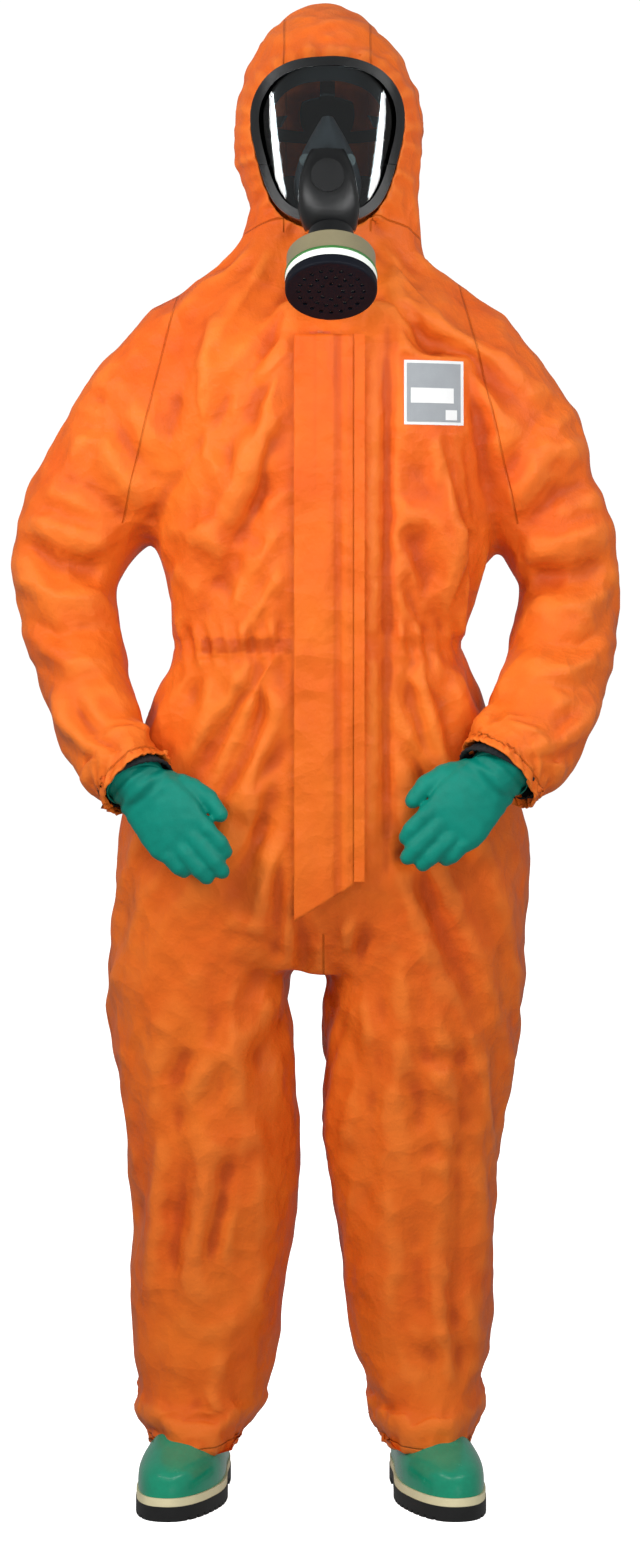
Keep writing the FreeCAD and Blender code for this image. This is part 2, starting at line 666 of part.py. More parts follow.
def make_housing(frame):
    """The moulded block under the lens that carries the valve, the voice plate and the thread."""
    sections = [
        (V(HEAD_X, -150, 1632), X, Y, 20, 16, 2.6),
        (V(HEAD_X, -154, 1618), X, Y, 28, 24, 2.8),
        (V(HEAD_X, -156, 1596), X, Y, 34, 28, 3.0),
        (V(HEAD_X + 1, -156, 1570), X, Y, 37, 30, 3.0),
        (V(HEAD_X + 2, -154, 1550), X, Y, 36, 29, 2.8),
        (V(CANISTER_X - 1, -152, 1536), X, Y, 30, 23, 2.6),
    ]
    outside, inside = filled(sections), filled(sections, 3.0)
    face, way = canister_axis()
    seat = face - way * (CANISTER_LENGTH + 3.0)
    socket = Part.makeCylinder(27.0, THREAD_LENGTH + 10, seat, -way)
    bore = Part.makeCylinder(THREAD_R + 0.4, THREAD_LENGTH + 16, seat + way * 2, -way)
    body = outside.cut(inside).fuse(socket.cut(inside)).cut(bore).cut(bend(0.6)).cut(frame)
    valve_at = V(HEAD_X, -190, 1598)
    body = body.cut(rod(valve_at, valve_at + Y * 16, 16.0))
    body = body.cut(rod(V(HEAD_X, -140, 1596), V(HEAD_X, -100, 1596), 16.0))
    keep("front_housing", body)

    seat_ring = disc_ring(V(HEAD_X, -181.5, 1598), Y, 15.6, 9.0, 3.0)
    spokes = block((HEAD_X - 14, -181.5, 1597), (HEAD_X + 14, -178.5, 1599))
    keep("exhalation_valve_seat", seat_ring.fuse(spokes))
    keep("exhalation_valve_disc", Part.makeCylinder(12.5, 0.9, V(HEAD_X, -182.8, 1598), Y))
    cover = Part.makeCylinder(19.5, 5.0, V(HEAD_X, -193.4, 1598), Y)
    cover = cover.cut(Part.makeCylinder(17.5, 3.4, V(HEAD_X, -191.8, 1598), Y))
    for i in range(6):
        angle = math.pi * i / 6
        tip = V(math.cos(angle), 0, math.sin(angle)) * 25
        at = V(HEAD_X, -190.0, 1598)
        slot = rod(at - tip, at + tip, 1.1)
        cover = cover.cut(slot)
    keep("exhalation_valve_cover", cover)

    diaphragm = disc_ring(V(HEAD_X, -128.5, 1596), Y, 26.4, 15.0, 3.0)
    keep("connector_ring", diaphragm)


def make_canister():
    face, way = canister_axis()
    back = face - way * CANISTER_LENGTH
    can = Part.makeCylinder(CANISTER_R - 1.5, CANISTER_LENGTH - 10, back, way)
    shoulder = Part.makeCone(30, CANISTER_R - 1.5, 8, back - way * 0.0, way)
    can = can.cut(Part.makeCylinder(CANISTER_R + 5, 8, back, way)).fuse(shoulder)
    hollow = Part.makeCylinder(CANISTER_R - 3.0, CANISTER_LENGTH, back + way * 9, way)
    neck = Part.makeCylinder(THREAD_R, THREAD_LENGTH, back + way * 0.5, -way)
    through = Part.makeCylinder(THREAD_R - 2.5, THREAD_LENGTH + 20, back + way * 12, -way)
    keep("canister_body", can.fuse(neck).cut(hollow).cut(through))

    band = Part.makeCylinder(CANISTER_R, 9, face - way * 21.5, way)
    band = band.cut(Part.makeCylinder(CANISTER_R - 1.4, 9, face - way * 21.5, way))
    keep("canister_band", band)

    cap = Part.makeCylinder(CANISTER_R, 12.2, face - way * 12.2, way)
    rim = [e for e in cap.Edges if e.Closed and e.CenterOfMass.distanceToPoint(face) < 1]
    cap = cap.makeFillet(3.0, rim)
    inside = Part.makeCylinder(CANISTER_R - 1.4, 9.7, face - way * 12.2, way)
    cap = cap.cut(inside)
    side = way.cross(X).normalize()
    holes = []
    for ring, count in ((14.0, 8), (26.0, 14), (38.0, 20)):
        for i in range(count):
            angle = 2 * math.pi * i / count
            at = face + X * (ring * math.cos(angle)) + side * (ring * math.sin(angle))
            holes.append(Part.makeCylinder(2.6, 12, at - way * 6, way))
    keep("canister_cap", cap.cut(Part.makeCompound(holes)))
    keep("particle_filter", Part.makeCylinder(CANISTER_R - 3.4, 12, face - way * 24, way))
    keep("carbon_bed", Part.makeCylinder(CANISTER_R - 3.4, 23, face - way * 48, way))

    seat = back - way * (THREAD_LENGTH + 1.2)
    keep("canister_gasket", disc_ring(seat, way, THREAD_R, 14.0, 0.9))


def make_harness():
    """Head straps inside the hood, with a crown pad and side buckles."""
    pad = Part.makeSphere(1.0)
    matrix = FreeCAD.Matrix()
    matrix.scale(85, 108, 82)
    outer = pad.transformGeometry(matrix)
    matrix = FreeCAD.Matrix()
    matrix.scale(83, 106, 80)
    inner = pad.transformGeometry(matrix)
    head = V(HEAD_X, 6, 1650)
    outer.translate(head)
    inner.translate(head)
    skin = outer.cut(inner)
    strips = [
        block((-300, -70, 1668), (300, 300, 1682)),
        block((-300, -70, 1596), (300, 300, 1610)),
        block((HEAD_X - 9, -70, 1660), (HEAD_X + 9, 300, 1800)),
        block((HEAD_X - 9, 60, 1590), (HEAD_X + 9, 300, 1670)),
    ]
    straps = strips[0]
    for strip in strips[1:]:
        straps = straps.fuse(strip)
    crown = rod(V(HEAD_X, 60, 1700), V(HEAD_X, 200, 1700), 34)
    straps = skin.common(straps.fuse(crown))
    keep("head_harness", straps)
    buckles = []
    for s in (-1, 1):
        for z, out in ((1603, 68), (1675, 77)):
            x = HEAD_X + s * out
            low, high = sorted((x, x + s * 3))
            buckle = block((low, -50, z - 9), (high, -37, z + 9))
            bar = block((low - 1, -47, z - 6), (high + 1, -40, z + 6))
            buckles.append(buckle.cut(bar))
    keep("harness_buckles", Part.makeCompound(buckles))


# ---------------------------------------------------------------- gloves
def hand_frame(side):
    """The cuff centre, the forearm's way, and the hand's own finger, thumb and palm ways."""
    sections = sleeve_sections(SLEEVES[side])
    cuff = sections[-1][0]
    forearm = (cuff - sections[-4][0]).normalize()
    finger = V(HAND[side]["tip"]).normalize()
    thumb = HAND[side]["thumb"]
    thumb = (thumb - finger * thumb.dot(finger)).normalize()
    return cuff, forearm, finger, thumb, finger.cross(thumb).normalize()


def capsule(start, end, radius):
    return rod(start, end, radius).fuse(Part.makeSphere(radius, end)).fuse(
        Part.makeSphere(radius, start)
    )


def hand_solid(side, inset):
    cuff, forearm, finger, thumb, palm = hand_frame(side)

    def at(along, across):
        return cuff + finger * along + thumb * across

    sections = [
        (at(-6, 0), thumb, palm, 37 - inset, 31 - inset, 2.2),
        (at(22, 2), thumb, palm, 38 - inset, 24 - inset, 2.2),
        (at(52, 2), thumb, palm, 41 - inset, 18 - inset, 2.3),
        (at(82, 0), thumb, palm, 40 - inset, 14.5 - inset, 2.4),
        (at(98, 0), thumb, palm, 36 - inset, 11 - inset, 2.4),
    ]
    hand = filled(sections)
    for across, root, length in FINGERS:
        tip = at(root + length - FINGER_R, across * 0.94)
        hand = hand.fuse(capsule(at(root - 8, across), tip, FINGER_R - inset))
    hand = hand.fuse(capsule(at(34, 28), at(62, 48), 13.5 - inset))
    hand = hand.fuse(capsule(at(62, 48), at(92, 52), 11.5 - inset))
    hand = hand.fuse(Part.makeSphere(36.5 - inset, cuff + finger * 2))
    return hand.fuse(rod(cuff - forearm * GAUNTLET_LENGTH, cuff, GAUNTLET_R - inset))


def make_glove(side):
    cuff, forearm = hand_frame(side)[:2]
    outside = hand_solid(side, 0.0)
    inside = hand_solid(side, GLOVE_WALL)
    mouth = rod(cuff - forearm * (GAUNTLET_LENGTH + 4), cuff, GAUNTLET_R - GLOVE_WALL)
    hem = cuff - forearm * GAUNTLET_LENGTH
    bead = disc_ring(hem, forearm, GAUNTLET_R + 1.2, GAUNTLET_R - GLOVE_WALL, 2.6)
    keep(f"glove_{side}", outside.cut(inside).cut(mouth).fuse(bead))


# ---------------------------------------------------------------- boots
def boot_outline(row, side, inset=0.0, z=None):
    """A foot-shaped outline: round toe, full ball and narrower heel."""
    height, toe, heel, half, narrow = row
    x_at, y_at, turn = BOOT_PLACE[side]
    turn = math.radians(turn)
    middle, reach = (toe + heel) / 2, (heel - toe) / 2 - inset
    points = []
    for i in range(OUTLINE_POINTS):
        t = 2 * math.pi * i / OUTLINE_POINTS
        along = middle + reach * power_of(math.cos(t), 0.86)
        share = min(1.0, max(0.0, (along + 50) / 120))
        taper = 1 - 0.3 * narrow * share * share * (3 - 2 * share)
        across = (half * taper - inset) * power_of(math.sin(t), 0.86)
        x = x_at + across * math.cos(turn) - along * math.sin(turn)
        y = y_at + across * math.sin(turn) + along * math.cos(turn)
        points.append(V(x, y, height if z is None else z))
    return points


def boot_solid(side, inset, rows):
    return lofted([boot_outline(r, side, inset) for r in rows])


def slab(points, thickness):
    """The outline's flat face, raised."""
    return Part.Face(smooth_loop(points)).extrude(V(0, 0, thickness))


def boot_point(side, along, across, z):
    x_at, y_at, turn = BOOT_PLACE[side]
    turn = math.radians(turn)
    return V(
        x_at + across * math.cos(turn) - along * math.sin(turn),
        y_at + across * math.sin(turn) + along * math.cos(turn),
        z,
    )


def boot_block(side, along_low, along_high, z_low, z_high, half=90.0):
    """A box in the boot's own directions."""
    made = block((-half, along_low, z_low), (half, along_high, z_high))
    x_at, y_at, turn = BOOT_PLACE[side]
    made.Placement = FreeCAD.Placement(V(x_at, y_at, 0), FreeCAD.Rotation(Z, turn))
    return made


def make_boot(side):
    top = BOOT[-1][0]
    upper = boot_solid(side, 0.0, BOOT)
    cavity_rows = [(WELT_HIGH + 3.4,) + BOOT[0][1:]] + BOOT[1:] + [(top + 8,) + BOOT[-1][1:]]
    cavity = boot_solid(side, BOOT_WALL, cavity_rows)
    keep(f"boot_upper_{side}", upper.cut(cavity))

    foot = (0, -151, 147, 54, 1.0)
    sole = slab(boot_outline(foot, side, 0.0, SOLE_LOW), SOLE_HIGH - SOLE_LOW)
    arch = boot_block(side, 0.0, 66.0, -1.0, 9.0)
    sole = sole.cut(arch)
    for i in range(9):
        start = -136.0 + 14.0 * i
        sole = sole.cut(boot_block(side, start, start + 4.0, -1.0, 4.0))
    for i in range(4):
        start = 76.0 + 16.0 * i
        sole = sole.cut(boot_block(side, start, start + 4.0, -1.0, 5.0))
    keep(f"outsole_{side}", sole)
    welt = slab(boot_outline(foot, side, 0.8, SOLE_HIGH + 0.1), WELT_HIGH - SOLE_HIGH - 0.1)
    insole = slab(boot_outline(BOOT[0], side, BOOT_WALL + 1.5, WELT_HIGH + 3.8), 4.0)
    cap_rows = BOOT[:4]
    cap = boot_solid(side, BOOT_WALL + 0.6, cap_rows).cut(boot_solid(side, BOOT_WALL + 2.4, cap_rows))
    cap = cap.common(boot_block(side, -150.0, -92.0, WELT_HIGH + 8.2, 64.0))
    return welt, insole, cap


# ---------------------------------------------------------------- build and save
def main():
    make_torso()
    make_gusset()
    make_zip()
    make_flap()
    make_label()
    make_hood()
    make_housing(make_mask())
    make_canister()
    make_harness()
    small_pieces = []
    for side in ("right", "left"):
        make_leg(side)
        make_sleeve(side)
        make_glove(side)
        small_pieces.append(make_boot(side))
    for name, pair in zip(("boot_welts", "insoles", "steel_toe_caps"), zip(*small_pieces)):
        keep(name, Part.makeCompound(list(pair)))

    os.makedirs("parts", exist_ok=True)
    for name, shape in PARTS.items():
        shape.translate(BODY_SHIFT)
        shape.exportStep(f"parts/{name}.step")
    print(f"{len(PARTS)} sub-parts")


main()
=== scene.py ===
import math

import bmesh
import bpy
import numpy as np
from mathutils import Matrix, Vector
from mathutils.kdtree import KDTree


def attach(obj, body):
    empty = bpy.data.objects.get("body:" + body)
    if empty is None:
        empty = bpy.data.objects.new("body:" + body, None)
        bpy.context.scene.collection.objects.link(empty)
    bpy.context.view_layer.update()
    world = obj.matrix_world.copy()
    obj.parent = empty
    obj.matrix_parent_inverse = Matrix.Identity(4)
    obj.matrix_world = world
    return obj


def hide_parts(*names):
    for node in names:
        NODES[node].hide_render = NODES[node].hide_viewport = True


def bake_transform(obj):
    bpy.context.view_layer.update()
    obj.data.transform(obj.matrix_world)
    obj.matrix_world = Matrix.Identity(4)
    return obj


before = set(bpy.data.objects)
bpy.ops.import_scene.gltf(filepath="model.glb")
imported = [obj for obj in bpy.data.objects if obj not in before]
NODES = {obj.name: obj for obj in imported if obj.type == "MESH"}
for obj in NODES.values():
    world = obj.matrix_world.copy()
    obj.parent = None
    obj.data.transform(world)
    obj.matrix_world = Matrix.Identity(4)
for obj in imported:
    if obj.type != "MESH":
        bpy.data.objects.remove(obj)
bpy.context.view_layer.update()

# Tables are in millimetres about the wearer's own axis, as in the CAD model.
SHIFT = np.array([0.4, 50.74, 0.0])
HEAD_X = 9.0
VOXEL = 0.0085
CLOTH_FRAMES = 26

TORSO = [
    (666, -255, 250, -105, 138, 2.4),
    (700, -262, 257, -136, 160, 2.5),
    (760, -257, 258, -147, 166, 2.6),
    (830, -249, 254, -148, 160, 2.6),
    (900, -232, 236, -148, 148, 2.6),
    (1000, -208, 200, -148, 128, 2.6),
    (1045, -186, 176, -147, 114, 2.6),
    (1070, -183, 171, -147, 112, 2.6),
    (1130, -190, 196, -148, 118, 2.6),
    (1200, -203, 218, -148, 130, 2.7),
    (1300, -200, 212, -148, 138, 2.7),
    (1390, -192, 200, -146, 136, 2.6),
    (1440, -184, 190, -132, 126, 2.6),
    (1480, -178, 186, -110, 112, 2.5),
    (1504, -161, 167, -90, 100, 2.4),
    (1522, -124, 132, -77, 91, 2.3),
    (1536, -98, 107, -72, 87, 2.2),
    (1556, -87, 112, -72, 88, 2.2),
]
HOOD = [
    (1526, -98, 108, -73, 88, 2.2),
    (1556, -87, 112, -78, 92, 2.2),
    (1574, -83, 115, -86, 97, 2.2),
    (1600, -90, 120, -94, 107, 2.2),
    (1640, -107, 127, -102, 121, 2.3),
    (1680, -108, 130, -106, 130, 2.3),
    (1720, -103, 123, -107, 133, 2.2),
    (1760, -88, 105, -97, 126, 2.1),
    (1790, -70, 82, -75, 106, 2.0),
    (1814, -45, 56, -42, 78, 2.0),
    (1829, -14, 26, -8, 44, 2.0),
]
LEGS = {
    "right": [
        (740, 740, -252, -30, -120, 140, 2.4),
        (669, 669, -262, -38, -117, 148, 2.4),
        (560, 560, -258, -32, -113, 124, 2.3),
        (470, 470, -240, -27, -110, 106, 2.2),
        (368, 368, -233, -30, -105, 99, 2.2),
        (258, 258, -236, -45, -98, 99, 2.2),
        (171, 168, -233, -56, -98, 104, 2.2),
        (122, 105, -229, -68, -108, 110, 2.2),
        (101, 76, -221, -84, -118, 114, 2.2),
        (90, 60, -213, -96, -120, 112, 2.2),
        (74, 44, -212, -97, -120, 111, 2.2),
    ],
    "left": [
        (740, 740, 10, 246, -120, 140, 2.4),
        (669, 669, 8, 257, -117, 148, 2.4),
        (560, 560, -2, 248, -113, 124, 2.3),
        (470, 470, -3, 228, -110, 106, 2.2),
        (400, 400, 12, 221, -107, 100, 2.2),
        (300, 300, 27, 217, -100, 98, 2.2),
        (200, 198, 41, 213, -97, 102, 2.2),
        (122, 105, 58, 204, -108, 110, 2.2),
        (101, 76, 64, 196, -118, 114, 2.2),
        (90, 60, 72, 188, -120, 112, 2.2),
        (74, 44, 73, 187, -120, 111, 2.2),
    ],
}
HEM_PLANES = {  # a point on each hem and the way out of the trouser leg
    "right": ((-154, 0, 75), (0, 0.127, -0.992)),
    "left": ((130, 0, 75), (0, 0.127, -0.992)),
}
SLEEVES = {
    "right": [
        (-150, 1490, -150, 1210, 12, 92),
        (-166, 1500, -201, 1196, 12, 98),
        (-218, 1470, -206, 1192, 10, 95),
        (-273, 1411, -212, 1186, 8, 88),
        (-322, 1324, -220, 1180, 8, 80),
        (-360, 1250, -232, 1166, 8, 73),
        (-377, 1175, -247, 1141, 8, 68),
        (-374, 1116, -250, 1112, 0, 64),
        (-345, 1015, -233, 1030, -46, 58),
        (-317, 934, -213, 964, -97, 54),
        (-291, 884, -194, 926, -141, 51),
        (-268, 862, -174, 906, -160, 47),
    ],
    "left": [
        (150, 1490, 160, 1200, 12, 92),
        (172, 1500, 217, 1184, 12, 98),
        (226, 1466, 220, 1182, 10, 95),
        (278, 1416, 223, 1178, 8, 88),
        (323, 1336, 229, 1168, 8, 80),
        (352, 1240, 238, 1150, 8, 73),
        (375, 1160, 248, 1130, 8, 69),
        (375, 1108, 242, 1102, 0, 66),
        (352, 1022, 224, 1040, -52, 61),
        (320, 940, 197, 985, -114, 57),
        (292, 888, 182, 950, -157, 54),
        (265, 868, 164, 924, -174, 48),
    ],
}
MASK_HALF = [
    (0, 1742),
    (40, 1738),
    (72, 1722),
    (90, 1694),
    (92, 1664),
    (84, 1626),
    (72, 1588),
    (56, 1563),
    (30, 1549),
    (0, 1546),
]


# ---------------------------------------------------------------- small geometry helpers
def metres(points):
    """Millimetres about the wearer's axis to metres in the row frame."""
    return (np.asarray(points, float) + SHIFT) * 0.001


def about_wearer(points):
    """Metres in the row frame to the x, y and z in millimetres about the wearer's axis."""
    return (points * 1000 - SHIFT).T


def grid_faces(tall, wide):
    """The quads of a sheet whose points are listed row by row."""
    return [
        (r * wide + c, r * wide + c + 1, (r + 1) * wide + c + 1, (r + 1) * wide + c)
        for r in range(tall - 1)
        for c in range(wide - 1)
    ]


def swell(value, middle, width, power=2):
    """1 at the middle, fading to 0 about a width away on both sides."""
    return np.exp(-(((value - middle) / width) ** power))


def unit(vector):
    vector = np.asarray(vector, float)
    return vector / np.linalg.norm(vector)


def smoothstep(value, low, high):
    t = np.clip((value - low) / (high - low), 0, 1)
    return t * t * (3 - 2 * t)


def signed_power(value, exponent):
    return np.sign(value) * np.abs(value) ** exponent


def level_rows(table):
    """(centre, u, v, half u, half v, squareness) rows from horizontal outlines."""
    rows = []
    for z, x_low, x_high, front, back, square in table:
        centre = ((x_low + x_high) / 2, (front + back) / 2, z)
        rows.append((centre, (1, 0, 0), (0, 1, 0), (x_high - x_low) / 2, (back - front) / 2, square))
    return rows


def leg_rows(table):
    rows = []
    for z_front, z_back, x_low, x_high, front, back, square in table:
        span = np.array([0, back - front, z_back - z_front], float)
        centre = ((x_low + x_high) / 2, (front + back) / 2, (z_front + z_back) / 2)
        half = np.linalg.norm(span) / 2
        rows.append((centre, (1, 0, 0), unit(span), (x_high - x_low) / 2, half, square))
    return rows


def sleeve_rows(table):
    centres = [np.array([(xo + xi) / 2, y, (zo + zi) / 2]) for xo, zo, xi, zi, y, _ in table]
    rows = []
    for i, (x_out, z_out, x_in, z_in, _, depth) in enumerate(table):
        span = np.array([x_out - x_in, 0, z_out - z_in], float)
        u = unit(span) if i else unit(table_span(table[1]))
        v = np.array([0.0, 1.0, 0.0])
        if i > 6:
            ahead = centres[min(i + 1, len(table) - 1)] - centres[i - 1]
            v = unit(np.cross(ahead, u))
            v = v if v[1] > 0 else -v
        rows.append((centres[i], u, v, np.linalg.norm(span) / 2, depth, 2.15))
    return rows


def table_span(row):
    return np.array([row[0] - row[2], 0, row[1] - row[3]], float)


def ring(row, count):
    centre, u, v, half_u, half_v, square = row
    t = np.arange(count) * 2 * math.pi / count
    along_u = half_u * signed_power(np.cos(t), 2 / square)
    along_v = half_v * signed_power(np.sin(t), 2 / square)
    return np.asarray(centre) + np.outer(along_u, u) + np.outer(along_v, v)


def longer(rows, extra):
    """Rows with one more past the last, straight on."""
    centre, u, v, half_u, half_v, square = rows[-1]
    way = unit(np.asarray(centre) - np.asarray(rows[-2][0]))
    return rows + [(np.asarray(centre) + way * extra, u, v, half_u, half_v, square)]


def tube(rows, count=56, step=9.0):
    """A closed tube of quads through the rows, with a fan at each end."""
    rings = [ring(row, count) for row in rows]
    fine = [rings[0]]
    for a, b in zip(rings, rings[1:]):
        parts = max(1, int(np.linalg.norm(b.mean(0) - a.mean(0)) / step))
        fine += [a + (b - a) * (k + 1) / parts for k in range(parts)]
    points = np.vstack(fine + [fine[0].mean(0)[None], fine[-1].mean(0)[None]])
    faces = []
    for r in range(len(fine) - 1):
        for i in range(count):
            j = (i + 1) % count
            faces.append((r * count + i, r * count + j, (r + 1) * count + j, (r + 1) * count + i))
    first, last = len(fine) * count, len(fine) * count + 1
    for i in range(count):
        j = (i + 1) % count
        faces.append((first, j, i))
        end = (len(fine) - 1) * count
        faces.append((last, end + i, end + j))
    return points, faces


def capsule(start, end, r_start, r_end, count=20, caps=5):
    """A closed tapered capsule."""
    start, end = np.asarray(start, float), np.asarray(end, float)
    way = unit(end - start)
    side = unit(np.cross(way, (0.31, 0.52, 0.79)))
    other = np.cross(way, side)
    rows = []
    for k in range(caps):
        a = math.pi / 2 * (1 - k / caps)
        rows.append((start - way * r_start * math.sin(a), max(0.02, r_start * math.cos(a))))
    for k in range(caps + 1):
        a = math.pi / 2 * k / caps
        rows.append((end + way * r_end * math.sin(a), max(0.02, r_end * math.cos(a))))
    return tube([(c, side, other, r, r, 2.0) for c, r in rows], count, 1e9)


def new_object(name, points, faces, scale=True):
    mesh = bpy.data.meshes.new(name)
    mesh.from_pydata((metres(points) if scale else points).tolist(), [], [tuple(f) for f in faces])
    made = bpy.data.objects.new(name, mesh)
    bpy.context.scene.collection.objects.link(made)
    return made


def joined(parts):
    """One list of points and faces from several."""
    points, faces, start = [], [], 0
    for p, f in parts:
        points.append(p)
        faces += [tuple(i + start for i in face) for face in f]
        start += len(p)
    return np.vstack(points), faces


def evaluated(obj):
    """Replaces the object's mesh with its modified one."""
    graph = bpy.context.evaluated_depsgraph_get()
    mesh = bpy.data.meshes.new_from_object(obj.evaluated_get(graph))
    obj.modifiers.clear()
    old, obj.data = obj.data, mesh
    bpy.data.meshes.remove(old)
    return obj


def remeshed(obj, size):
    """One closed skin round everything in the object."""
    bm = bmesh.new()
    bm.from_mesh(obj.data)
    bmesh.ops.recalc_face_normals(bm, faces=bm.faces)
    bm.to_mesh(obj.data)
    bm.free()
    modifier = obj.modifiers.new("remesh", "REMESH")
    modifier.mode = "VOXEL"
    modifier.voxel_size = size
    return evaluated(obj)


def coords(obj):
    found = np.empty(len(obj.data.vertices) * 3)
    obj.data.vertices.foreach_get("co", found)
    return found.reshape(-1, 3)


def put_coords(obj, points):
    obj.data.vertices.foreach_set("co", np.asarray(points, float).ravel())
    obj.data.update()


def edges_of(obj):
    found = np.empty(len(obj.data.edges) * 2, int)
    obj.data.edges.foreach_get("vertices", found)
    return found.reshape(-1, 2)


def normals_of(obj):
    found = np.empty(len(obj.data.vertices) * 3)
    obj.data.vertex_normals.foreach_get("vector", found)
    return found.reshape(-1, 3)


def spread(values, edges, rounds, amount=0.5):
    """Averages a value over neighbouring points."""
    count = len(values)
    degree = np.bincount(edges.ravel(), minlength=count).astype(float)
    degree[degree == 0] = 1
    flat = values.reshape(count, -1).copy()
    for _ in range(rounds):
        total = np.empty_like(flat)
        for k in range(flat.shape[1]):
            total[:, k] = np.bincount(edges[:, 0], flat[edges[:, 1], k], count)
            total[:, k] += np.bincount(edges[:, 1], flat[edges[:, 0], k], count)
        flat += amount * (total / degree[:, None] - flat)
    return flat.reshape(values.shape)


def relaxed(obj, rounds):
    """Smooths away the voxel steps without shrinking."""
    points, edges = coords(obj), edges_of(obj)
    for _ in range(rounds):
        points = spread(points, edges, 1, 0.5)
        points = spread(points, edges, 1, -0.52)
    put_coords(obj, points)


def smooth_shaded(obj):
    obj.data.polygons.foreach_set("use_smooth", [True] * len(obj.data.polygons))
    obj.data.update()


def snapped(obj, distance, gradient, reach=0.012):
    """Moves one end of every edge that crosses distance 0 onto it, then splits the quads it crosses.

    distance and gradient are functions of points in metres, and where distance is larger than
    reach nothing moves. Returns the new distances.
    """
    points, edges = coords(obj), edges_of(obj)
    d = distance(points)
    crossing = edges[(d[edges[:, 0]] > 0) != (d[edges[:, 1]] > 0)]
    crossing = crossing[np.abs(d[crossing]).max(1) < reach]
    nearer = np.where(np.abs(d[crossing[:, 0]]) < np.abs(d[crossing[:, 1]]), crossing[:, 0], crossing[:, 1])
    marked = np.unique(nearer)
    points[marked] -= gradient(points[marked]) * d[marked, None]
    put_coords(obj, points)
    d = distance(points)
    d[marked] = 0
    bm = bmesh.new()
    bm.from_mesh(obj.data)
    for face in list(bm.faces):
        on = [v for v in face.verts if d[v.index] == 0]
        signs = {np.sign(d[v.index]) for v in face.verts}
        if len(on) == 2 and {1.0, -1.0} <= signs and not bm.edges.get(on):
            bmesh.utils.face_split(face, on[0], on[1])
    bm.to_mesh(obj.data)
    bm.free()
    return d


def drop_faces(obj, gone):
    bm = bmesh.new()
    bm.from_mesh(obj.data)
    bm.faces.ensure_lookup_table()
    bmesh.ops.delete(bm, geom=[bm.faces[i] for i in np.flatnonzero(gone)], context="FACES")
    bm.to_mesh(obj.data)
    bm.free()


def face_mean(obj, values):
    """The mean of a point value over each face."""
    loops = np.empty(len(obj.data.loops), int)
    obj.data.loops.foreach_get("vertex_index", loops)
    totals = np.empty(len(obj.data.polygons), int)
    obj.data.polygons.foreach_get("loop_total", totals)
    owner = np.repeat(np.arange(len(totals)), totals)
    return np.bincount(owner, values[loops], len(totals)) / totals


def plane(point, normal):
    """Distance and gradient of a plane given in millimetres about the wearer's axis."""
    at, way = metres(point), unit(normal)
    return (lambda p: (p - at) @ way), (lambda p: np.tile(way, (len(p), 1)))


# ---------------------------------------------------------------- the mask's outline
def mask_loop(outset):
    low, high = MASK_HALF[-1][1], MASK_HALF[0][1]
    middle, half, widest = (low + high) / 2, (high - low) / 2, 92.0
    grow_x, grow_z = (widest + outset) / widest, (half + outset) / half
    right = [(x * grow_x, middle + (z - middle) * grow_z) for x, z in MASK_HALF]
    loop = np.array([(HEAD_X + x, z) for x, z in right + [(-x, z) for x, z in right[-2:0:-1]]])
    for _ in range(3):  # corner cutting keeps the outline smooth
        ahead = np.roll(loop, -1, axis=0)
        loop = np.column_stack([loop * 0.75 + ahead * 0.25, loop * 0.25 + ahead * 0.75]).reshape(-1, 2)
    return loop


def loop_distance(points, loop):
    """Signed distance in metres to the loop seen from the front, negative inside."""
    x = points[:, 0] * 1000 - SHIFT[0]
    z = points[:, 2] * 1000
    a, b = loop, np.roll(loop, -1, axis=0)
    best = np.full(len(x), 1e9)
    inside = np.zeros(len(x), bool)
    for (ax, az), (bx, bz) in zip(a, b):
        dx, dz = bx - ax, bz - az
        t = np.clip(((x - ax) * dx + (z - az) * dz) / (dx * dx + dz * dz), 0, 1)
        best = np.minimum(best, np.hypot(x - ax - t * dx, z - az - t * dz))
        if az != bz:
            inside ^= ((az > z) != (bz > z)) & (x < dx * (z - az) / dz + ax)
    return np.where(inside, -best, best) * 0.001


# ---------------------------------------------------------------- materials
def node_material(name, color, roughness, metallic=0.0, coat=0.0, specular=0.5):
    made = bpy.data.materials.new(name)
    made.use_nodes = True
    shader = made.node_tree.nodes["Principled BSDF"]
    shader.inputs["Base Color"].default_value = (*color, 1)
    shader.inputs["Roughness"].default_value = roughness
    shader.inputs["Metallic"].default_value = metallic
    shader.inputs["Coat Weight"].default_value = coat
    shader.inputs["Coat Roughness"].default_value = 0.12
    shader.inputs["Specular IOR Level"].default_value = specular
    return made


